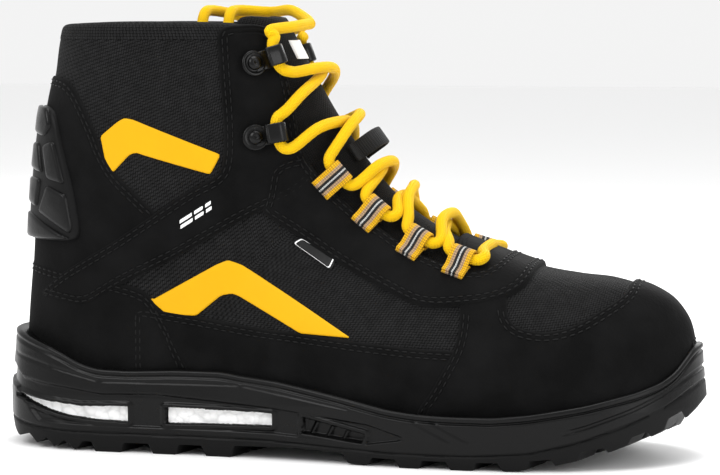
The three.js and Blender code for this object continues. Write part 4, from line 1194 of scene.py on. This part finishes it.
def lathe(name, profile, origin, axis, material, sides=24):
    """A turned piece: profile points are (radius, height along axis)."""
    a = unit(np.cross(axis, [0.31, 0.87, 0.38]))
    b = np.cross(axis, a)
    verts = []
    for r, h in profile:
        for t in np.linspace(0, 2 * math.pi, sides, endpoint=False):
            verts.append(origin + axis * h + (a * math.cos(t) + b * math.sin(t)) * max(r, 0.01))
    obj = mesh_object(name, verts, closed_tube(len(profile), sides), material)
    fix_normals(obj)
    return obj


PLATE_BACK = 9.0  # from the hook's mouth back to its rivet
PLATE = [
    (0, 0), (5.3, 0), (5.6, 0.25), (5.6, 0.9), (5.2, 1.2), (4.5, 1.22), (4.2, 1.05), (3.3, 1.05),
    (0, 1.05),
]
RIVET = [
    (0, -0.2), (3.0, -0.2), (3.1, 0.3), (2.9, 0.85), (2.3, 1.35), (1.5, 1.7), (0.9, 1.8), (0.75, 1.6),
    (0, 1.55),
]


def hooks():
    """Open hooks of bent strip, each with a round base plate and a turned rivet head."""
    r = ROOM + HOOK_SHEET / 2
    top = HOOK_CENTRE[1] + r
    line = [(-PLATE_BACK, SEAT + HOOK_SHEET / 2), (-2.0, SEAT + HOOK_SHEET / 2),
            *arc(HOOK_CENTRE, r, 270, 448, 20), (-4.6, top - 0.1), (-5.4, top + 0.5)]
    for half in SIDES:
        for i in range(HOOK_ROWS):
            number = f"{half}_{i + 1}"
            p, n, _, f = seat = seats[f"hook_{number}"]
            strip = ribbon(f"hook_strip_{number}", line, HOOK_WIDTH, HOOK_SHEET, seat, ENAMEL)
            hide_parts(f"hook_{number}")
            base = p - f * PLATE_BACK + n * SEAT
            plate = lathe(f"hook_plate_{number}", PLATE, base, n, ENAMEL, 40)
            rivet = lathe(f"rivet_head_{number}", RIVET, base + n * HOOK_SHEET, n, ENAMEL, 32)
            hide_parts(f"rivet_{number}")


# ---------------------------------------------------------------- lace
LOW = LACE / 2 - TEXTILE - SEAM + 0.6
HIGH = LOW + LACE + 0.5
OVER_EDGE = SEAT + LACE / 2 + 0.4


def on_tongue(angle, turn, lift):
    side = -1 if turn < 0 else 1
    a, t = np.array(float(angle)), np.array(abs(turn))
    return foot_point(a, t, side) + foot_normal(a, t, np.array(side)) * lift


def leg(row, side, spot, lift):
    """From a crossing on the tongue out towards a row's fitting."""
    cross, end = float(angle_of(*spot)), float(angle_of(*ROW_SPOTS[row]))

    def at(turn, height):
        return on_tongue(cross + (end - cross) * turn * 0.7, side * turn, height)

    near = at(0.22, HIGH - 1 if lift == HIGH else LOW + 0.5)
    return [at(0.5, OVER_EDGE), near] if row < HOOK_ROWS else [near]


def pass_through(row, side):
    """Down through a row's hook or loop."""
    hook = row < HOOK_ROWS
    half = (HOOK_WIDTH if hook else WEBBING_WIDTH) / 2
    centre = HOOK_CENTRE if hook else LOOP_CENTRE
    p, n, u, f = seats[ROW_NAMES[row].format("outer" if side < 0 else "inner")]
    bow = [(0.76 * LACE, half + 0.7 * LACE), (0.2 * LACE, half + 0.54 * LACE)]
    above = [*bow, (0, half + 0.2), (0, half - 1.4)]
    route = [*above, (0, 0), *((over, -along) for over, along in above[::-1])]
    return [p + f * (centre[0] + over) + n * centre[1] + u * along for over, along in route]


def run_down(side, lift):
    """From the top row to the bottom one, crossing the tongue after each row."""
    pts = pass_through(0, side)
    for row, spot in enumerate(CROSSINGS[:len(ROW_SPOTS) - 1]):
        pts += leg(row, side, spot, lift)
        pts.append(on_tongue(angle_of(*spot), 0.0, lift))
        side = -side
        pts += leg(row + 1, side, spot, lift)[::-1]
        pts += pass_through(row + 1, side)
    return pts


def eased(line, passes):
    """The line with its tightest bends opened and its ends held."""
    for _ in range(passes):
        line = np.concatenate([line[:1], (line[:-2] + 2 * line[1:-1] + line[2:]) / 4, line[-1:]])
    return line


CORD_STEP = 1.1
CORD_SIDES = 20


def cord_mesh(name, line):
    """A braided round cord along a line, with its length and turn kept for the braid."""
    t = np.gradient(line, axis=0)
    t /= np.linalg.norm(t, axis=1)[:, None]
    normal = unit(np.cross(t[0], [0.3, 0.2, 1.0]))
    verts, along, around = [], [], []
    for p, direction, s in zip(line, t, run_length(line)):
        normal = unit(normal - direction * normal.dot(direction))
        other = np.cross(direction, normal)
        r = (LACE / 2 - 0.05) * (1 + 0.012 * math.sin(s * 1.7))
        for k in range(CORD_SIDES):
            a = 2 * math.pi * k / CORD_SIDES
            verts.append(p + (normal * math.cos(a) + other * math.sin(a)) * r)
            along.append(s)
            around.append(4 * abs(2 * k / CORD_SIDES - 1))
    obj = mesh_object(name, verts, closed_tube(len(line), CORD_SIDES), BRAID)
    point_values(obj.data, "along", along)
    point_values(obj.data, "around", around)
    fix_normals(obj)
    return obj


AGLET = [
    (0, 0), (2.4, 0), (2.8, -0.5), (2.85, -1.2), (2.7, -1.5), (2.7, 2.2 - AGLET_LENGTH),
    (2.45, 0.7 - AGLET_LENGTH), (1.8, -AGLET_LENGTH), (0, -AGLET_LENGTH),
]


def laced():
    down = run_down(-1, HIGH)
    up = run_down(1, LOW)[::-1]
    bar, top = (float(angle_of(*spot)) for spot in (CROSSINGS[-1], TOP_CROSSING))
    over = on_tongue(top, 0.0, HIGH)
    rise = [on_tongue(top - 0.004, -0.3, HIGH - 1), on_tongue(top - 0.012, -0.58, OVER_EDGE + 0.8)]
    bars = [on_tongue(bar, t, LOW + 0.4) for t in (0.25, 0.0, -0.25)]
    lace = cord_mesh("lace_braided", eased(open_curve([over, *rise, *down, *bars, *up], CORD_STEP), 5))
    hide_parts("lace")
    rim = COLLAR_Z + 2 + LACE / 2 + 0.8
    over_tongue = [
        over + (rise[0] - over) * -0.03, on_tongue(top - 0.022, 0.3, HIGH - 0.4),
        on_tongue(top - 0.062, 0.58, OVER_EDGE + 1), (-45, 36.5, rim + 0.5)]
    over_collar = [up[-1] + LACE * np.array([-0.28, 0.36, 0.74]), (-41, 40.5, 182), (-56, 45, 187)]
    for i, (start, (x, y)) in enumerate(zip((over_tongue, over_collar), TAIL_DROP)):
        hang = [(x + 2, y + 9, rim + 1.2), (x + 0.5, y + 3.5, rim), (x, y, rim - 7),
                (x, y - 0.5, rim - 22), (x, y - 0.8, 130), (x, y - 1, TAIL_BOTTOM)]
        path = open_curve([*start, *hang], CORD_STEP)
        tail = cord_mesh(f"lace_end_{i + 1}", path)
        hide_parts(f"lace_tail_{i + 1}")
        tip = lathe(f"lace_tip_{i + 1}", AGLET, path[-1] - (0, 0, GAP), np.array([0, 0, 1.0]), GLOSS)
        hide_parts(f"aglet_{i + 1}")


laced()
hooks()


# ---------------------------------------------------------------- sole
def plan_line(count):
    """Smooth closed outline of the sole, and its outward directions."""
    p = closed_curve(SOLE_PLAN, count)
    return p, outward(p)


def inset_at(z):
    return np.interp(z, *np.array(SOLE_INSET, float).T)


def loop_depth(points, loop):
    """Distance inside a closed side-view loop, negative outside."""
    p = resample(np.array(loop, float), 0.5)
    d = distance_to(points, p)
    return np.where(inside(points, p), d, -d)


def engraved_line(pts, start, end, deep=0.45, wide=0.45):
    """Depth of a straight engraved line with soft ends."""
    start, end = np.array(start, float), np.array(end, float)
    length = np.linalg.norm(end - start)
    along = (end - start) / length
    rel = pts - start
    s = rel @ along
    off = rel[:, 0] * along[1] - rel[:, 1] * along[0]
    return deep * np.exp(-(off / wide) ** 2) * smooth(s / 2) * smooth((length - s) / 2)


def pressed_in(x, z):
    """How far the side wall is pressed in: lip, recessed band, windows, engraved lines and steps."""
    pts = np.stack([x, z], -1)
    lip_z = soft_line(RIM_LINE, x) - 2.9
    deep = np.exp(-((z - lip_z) / 0.55) ** 2)
    # the band under the heel cup is drawn in, and its upper border overhangs
    in_band = smooth((line_at(BAND_TOP, x) - z) / 0.9) * smooth((z - line_at(BAND_LOW, x)) / 0.9)
    deep += 1.5 * in_band * smooth((34 - x) / 4)
    # frames stand round the windows inside the band, and the windows go in
    for window, window_deep in [*((w, 6.4) for w in WINDOWS), (BLIND_WINDOW, 2.6)]:
        d = loop_depth(pts, window)
        deep -= 1.2 * smooth((d + 2.2) / 0.6) * smooth((0.15 - d) / 0.5) * in_band
        deep += window_deep * smooth((d + 0.1) / 0.8)
    # three slanted bars stand in the blind window
    blind = loop_depth(pts, BLIND_WINDOW)
    for bar_x in (-7, 0.5, 8):
        off = x - bar_x - (z - 15) * 0.5
        deep -= 1.5 * np.exp(-(off / 0.8) ** 2) * smooth(blind / 0.6)
    for start, end in ENGRAVED:
        deep += engraved_line(pts, start, end)
    # a low step runs round the toe, above the tread
    step = soft_line(TREAD_TOP, x) + 3.2
    deep += 0.8 * smooth((x - 98) / 8) * smooth((z - step) / 0.6) * smooth((step + 2.4 - z) / 0.8)
    return deep


SOLE_COLUMNS = 1080
SOLE_ROWS = 56
CREST = 1.3  # radius of the rounded top edge
SOLE_TOP = [(0.6, 0.0), (1.6, -0.15), (3.0, -0.7), (5.0, -1.6), (8.5, -3.2)]
SOLE_UNDER = [(9.0, 0.0), (3.0, 0.0)]


def sole_wall():
    """The moulded side wall, its top running in to the upper and its bottom in under the tread."""
    p, out = plan_line(SOLE_COLUMNS)
    low = soft_line(TREAD_TOP, p[:, 0]) - 0.2
    high = soft_line(RIM_LINE, p[:, 0])
    z = low + (high - low) * np.linspace(0, 1, SOLE_ROWS)[:, None]
    x, y = (np.repeat(p[None, :, k], SOLE_ROWS, 0) for k in (0, 1))
    deep = pressed_in(x.ravel(), z.ravel()).reshape(x.shape)
    inset = inset_at(z) + deep + CREST * (1 - round_over((high - z) / CREST))

    def ring(base_inset, more, base_z, rise):
        q = p - out * (base_inset + more)[:, None]
        return np.concatenate([q, (base_z + rise)[:, None]], 1)

    wall = np.stack([x - out[:, 0] * inset, y - out[:, 1] * inset, z], -1)
    under = [ring(inset[0], more, low, rise) for more, rise in SOLE_UNDER]
    top = [ring(inset[-1], more, high, rise) for more, rise in SOLE_TOP]
    verts = np.concatenate([under, wall, top])
    faces = grid_faces(len(verts), SOLE_COLUMNS, wrap=True)
    obj = mesh_object("sole_cup", verts.reshape(-1, 3), faces, SOLE_LOOK)
    fix_normals(obj)
    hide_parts("midsole")


CORE_INSET = 3.6


def foam_windows():
    """The white bead core, seen through the windows in the side wall."""
    p, out = plan_line(780)
    heights = np.linspace(11.5, 25, 22)
    x, y = (np.repeat(p[None, :, k], len(heights), 0) for k in (0, 1))
    z = np.repeat(heights[:, None], len(p), 1)
    inset = CORE_INSET - 0.25 * np.sin(x * 1.9 + 1.3 * z) * np.sin(z * 2.3 - x * 0.7)
    grid = np.stack([x - out[:, 0] * inset, y - out[:, 1] * inset, z], -1).reshape(-1, 3)
    for i, window in enumerate(WINDOWS):
        within = inside(np.stack([x.ravel(), z.ravel()], -1), grown_loop(window, 1.3)).reshape(x.shape)
        for half, side in SIDES.items():
            used, faces = compact(part_of_grid(within & (y * side > 0)))
            obj = mesh_object(f"foam_window_{half}_{i + 1}", grid[used], faces, BEADS)


TREAD_RAKE = 0.30
TREAD_COLUMNS = 1400
TREAD_SHARES = [
    0.985, 0.95, 0.9, 0.85, 0.8, 0.74, 0.68, 0.63, 0.6, 0.57, 0.54, 0.51, 0.46, 0.4, 0.33, 0.27, 0.2,
    0.15, 0.12, 0.1, 0.07, 0.03, 0.0,
]  # rings of the underside, as shares of the half width, closer beside the channels


def tread_height(x, y, rim_y):
    """Underside: lugs as the side view shows them, raked towards the middle, with channels between."""
    lugs = line_at(TREAD_BOTTOM, x - TREAD_RAKE * (np.abs(rim_y) - np.abs(y)))
    floor = np.minimum(soft_line(TREAD_TOP, x, 6) - 1.0, soft_line(CHANNEL_FLOOR, x, 4))
    middle = smooth(5.0 - np.abs(y)) * smooth((x + 128) / 3) * smooth((126 - x) / 3)
    split = np.exp(-((np.abs(y) - 0.56 * np.abs(rim_y)) / 1.3) ** 2)
    split *= 0.9 * smooth((np.abs(rim_y) - 24) / 6)
    z = lugs * (1 - middle) + floor * middle
    return z * (1 - split) + np.maximum(z, floor) * split


def tread():
    """Rubber outsole: a thin wall round the lugs, then the underside as rings towards the middle."""
    p, out = plan_line(TREAD_COLUMNS)
    low = line_at(TREAD_BOTTOM, p[:, 0])
    high = np.maximum(soft_line(TREAD_TOP, p[:, 0]), low + 1.0)
    rows = []
    for share in np.linspace(1, 0, 14):
        z = low + (high - low) * share
        groove = 0.7 * np.exp(-((z - (high - 1.2)) / 0.5) ** 2)
        rows.append(np.column_stack([p - out * (inset_at(z) + groove)[:, None], z]))
    rim_x, rim_y = (p - out * inset_at(low)[:, None]).T
    for share in TREAD_SHARES:
        x, y = rim_x, rim_y * share
        if share < 0.9:
            x = np.clip(x, -150 + 4 * (1 - share), 148 - 4 * (1 - share))
        rows.append(np.column_stack([x, y, tread_height(x, y, rim_y)]))
    verts = np.array(rows)
    verts[..., 2] = np.maximum(verts[..., 2], 0)
    faces = grid_faces(len(rows), TREAD_COLUMNS, wrap=True)
    obj = mesh_object("tread_sole", verts.reshape(-1, 3), faces, RUBBER)
    obj.data.set_sharp_from_angle(angle=math.radians(34))
    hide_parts("outsole")


sole_wall()
foam_windows()
tread()


# ---------------------------------------------------------------- inside
FOOTBED_X = (-137.5, 141.3)
FOOTBED_COLUMNS = 45


def footbed():
    """Loose footbed: a cupped foam sheet under cloth, on its own body."""
    xs = np.linspace(*FOOTBED_X, 190)
    ys = np.linspace(-1, 1, FOOTBED_COLUMNS)
    edge_round = np.sqrt(1 - np.clip((np.abs(ys) - 0.94) / 0.06, 0, 1) ** 2)
    tops, lows = [], []
    for x in xs:
        z = line_at(FLOOR, x) + 5.5
        wall = [at_side(np.array(x), np.array(z + 0.6), side, np.array(-7.2))[0][1] for side in (-1, 1)]
        to_end = min(1.0, (x + 139.5) / 10, (143.2 - x) / 8)
        outer, inner = np.array(wall) * math.sqrt(max(0.02, 1 - (1 - to_end) ** 2))
        y = (outer + inner) / 2 + (inner - outer) / 2 * ys
        cup = 0.35 * ys ** 6 * (x < 60)
        across = np.full(FOOTBED_COLUMNS, x)
        tops.append(np.stack([across, y, z + (2.3 + cup) * edge_round], -1))
        lows.append(np.stack([across, y, z - 2.2 * edge_round], -1))
    verts = np.array(tops + lows).reshape(-1, 3)
    n, cols = len(verts) // 2, FOOTBED_COLUMNS
    faces = grid_faces(len(xs), cols)
    faces += [tuple(n + k for k in f[::-1]) for f in faces]
    border = [(i, i + cols) for j in (0, cols - 1) for i in range(j, n - cols, cols)]
    border += [(i, i + 1) for start in (0, n - cols) for i in range(start, start + cols - 1)]
    faces += [(a, b, n + b, n + a) for a, b in border]
    obj = mesh_object("footbed_pad", verts, faces, FOOTBED_TOP, "footbed", uv=verts[:, :2])
    fix_normals(obj)
    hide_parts("footbed")


footbed()


# ---------------------------------------------------------------- stitching
STITCH = 2.5
STITCH_GAP = 1.15
THREAD_RADIUS = 0.33
THREAD_SIDES = 6
CAPSULE = [(-1.0, 0.25), (-0.75, 0.9), (0.0, 1.0), (0.75, 0.9), (1.0, 0.25)]


def stitches():
    """Every sewn row as short capsules of thread lying in the leather."""
    turns = np.linspace(0, 2 * math.pi, THREAD_SIDES, endpoint=False)
    verts, faces = [], []
    one = closed_tube(len(CAPSULE), THREAD_SIDES)
    for flat, back, keep, level in stitched:
        loop = np.concatenate([flat, flat[:1]])
        run = run_length(surface(loop, back, 0.0))
        starts = np.arange(0, run[-1] - STITCH, STITCH + STITCH_GAP)
        first = points_at(loop, run, starts)
        a = surface(first, back, level + 0.1)
        b = surface(points_at(loop, run, starts + STITCH), back, level + 0.1)
        up = surface(first, back, level + 1.1) - a
        span = np.linalg.norm(b - a, axis=1)
        ok = keep((a + b) / 2) & (span > 0.5 * STITCH) & (span < 1.5 * STITCH)
        for p, q, n in zip(a[ok], b[ok], up[ok]):
            t = unit(q - p)
            n = unit(n - t * n.dot(t))
            s = np.cross(t, n)
            faces += [tuple(len(verts) + i for i in f) for f in one]
            for along, wide in CAPSULE:
                middle = (p + q) / 2 + t * along * STITCH / 2
                verts += [middle + (n * (math.cos(w) - 0.25 * along * along) + s * math.sin(w))
                          * THREAD_RADIUS * wide for w in turns]
    obj = mesh_object("stitching", verts, faces, THREAD)


stitches()

PLAIN_LOOKS = {
    "energy_core": BEADS, "torsion_shank": COMPOSITE, "insole_board": BOARD, "toe_cap": COMPOSITE,
    "heel_stiffener": COMPOSITE, "collar_foam": FOAM, "tongue_label": PRINT,
}
for name, look in PLAIN_LOOKS.items():
    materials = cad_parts[name].data.materials
    materials.clear()
    materials.append(look)


# ---------------------------------------------------------------- stage
CAMERA_YAW = 12
CAMERA_DISTANCE = 1150
CAMERA_HEIGHT = 188
CAMERA_AIM = (3.3, 0.7, 92)
CAMERA_LENS = 132
LAMPS = [  # place, aim and size in metres, and power
    ("key", (-0.7, -1.1, 1.2), (0, 0, 0.08), (0.9, 0.9), 14),
    ("side", (1.3, -0.7, 0.5), (0, 0, 0.08), (0.5, 1.0), 6),
    ("top", (0.1, 0.1, 1.5), (0, 0, 0.1), (1.2, 0.8), 12),
    ("rim", (0.3, 1.3, 0.8), (0, 0, 0.12), (1.2, 0.6), 8),
]


def placed(name, data, place, aim):
    """An object put in the scene at a place, facing a point."""
    obj = bpy.data.objects.new(name, data)
    bpy.context.collection.objects.link(obj)
    obj.location = place
    obj.rotation_euler = (Vector(aim) - Vector(place)).to_track_quat("-Z", "Y").to_euler()
    return obj


def camera():
    """A long lens, low and a little ahead of the boot's side."""
    cam = bpy.data.cameras.new("camera")
    cam.sensor_width = 36
    cam.lens = CAMERA_LENS
    yaw = math.radians(CAMERA_YAW)
    place = Vector((CAMERA_DISTANCE * math.sin(yaw), -CAMERA_DISTANCE * math.cos(yaw), CAMERA_HEIGHT))
    bpy.context.scene.camera = placed("camera", cam, place * MM, Vector(CAMERA_AIM) * MM)


def stage():
    """White paper floor, white surroundings and four soft lamps."""
    mesh = bpy.data.meshes.new("floor")
    mesh.from_pydata([(-6, -6, 0), (6, -6, 0), (6, 6, 0), (-6, 6, 0)], [], [(0, 1, 2, 3)])
    look = Look("floor_paper", (0.96, 0.96, 0.96), 0.8)
    look.bump(look.noise(60, 2), 0.03, 0.001)
    mesh.materials.append(look.material)
    floor = bpy.data.objects.new("floor", mesh)
    bpy.context.collection.objects.link(floor)
    scene = bpy.context.scene
    scene.world = bpy.data.worlds.new("studio")
    scene.world.use_nodes = True
    background = scene.world.node_tree.nodes["Background"]
    background.inputs["Color"].default_value = (1, 1, 1, 1)
    background.inputs["Strength"].default_value = 0.9
    scene.view_settings.view_transform = "Standard"
    for name, place, aim, size, power in LAMPS:
        light = bpy.data.lights.new(name, "AREA")
        light.shape = "RECTANGLE"
        light.size, light.size_y = size
        light.energy = power
        placed(name, light, place, aim)


camera()
stage()
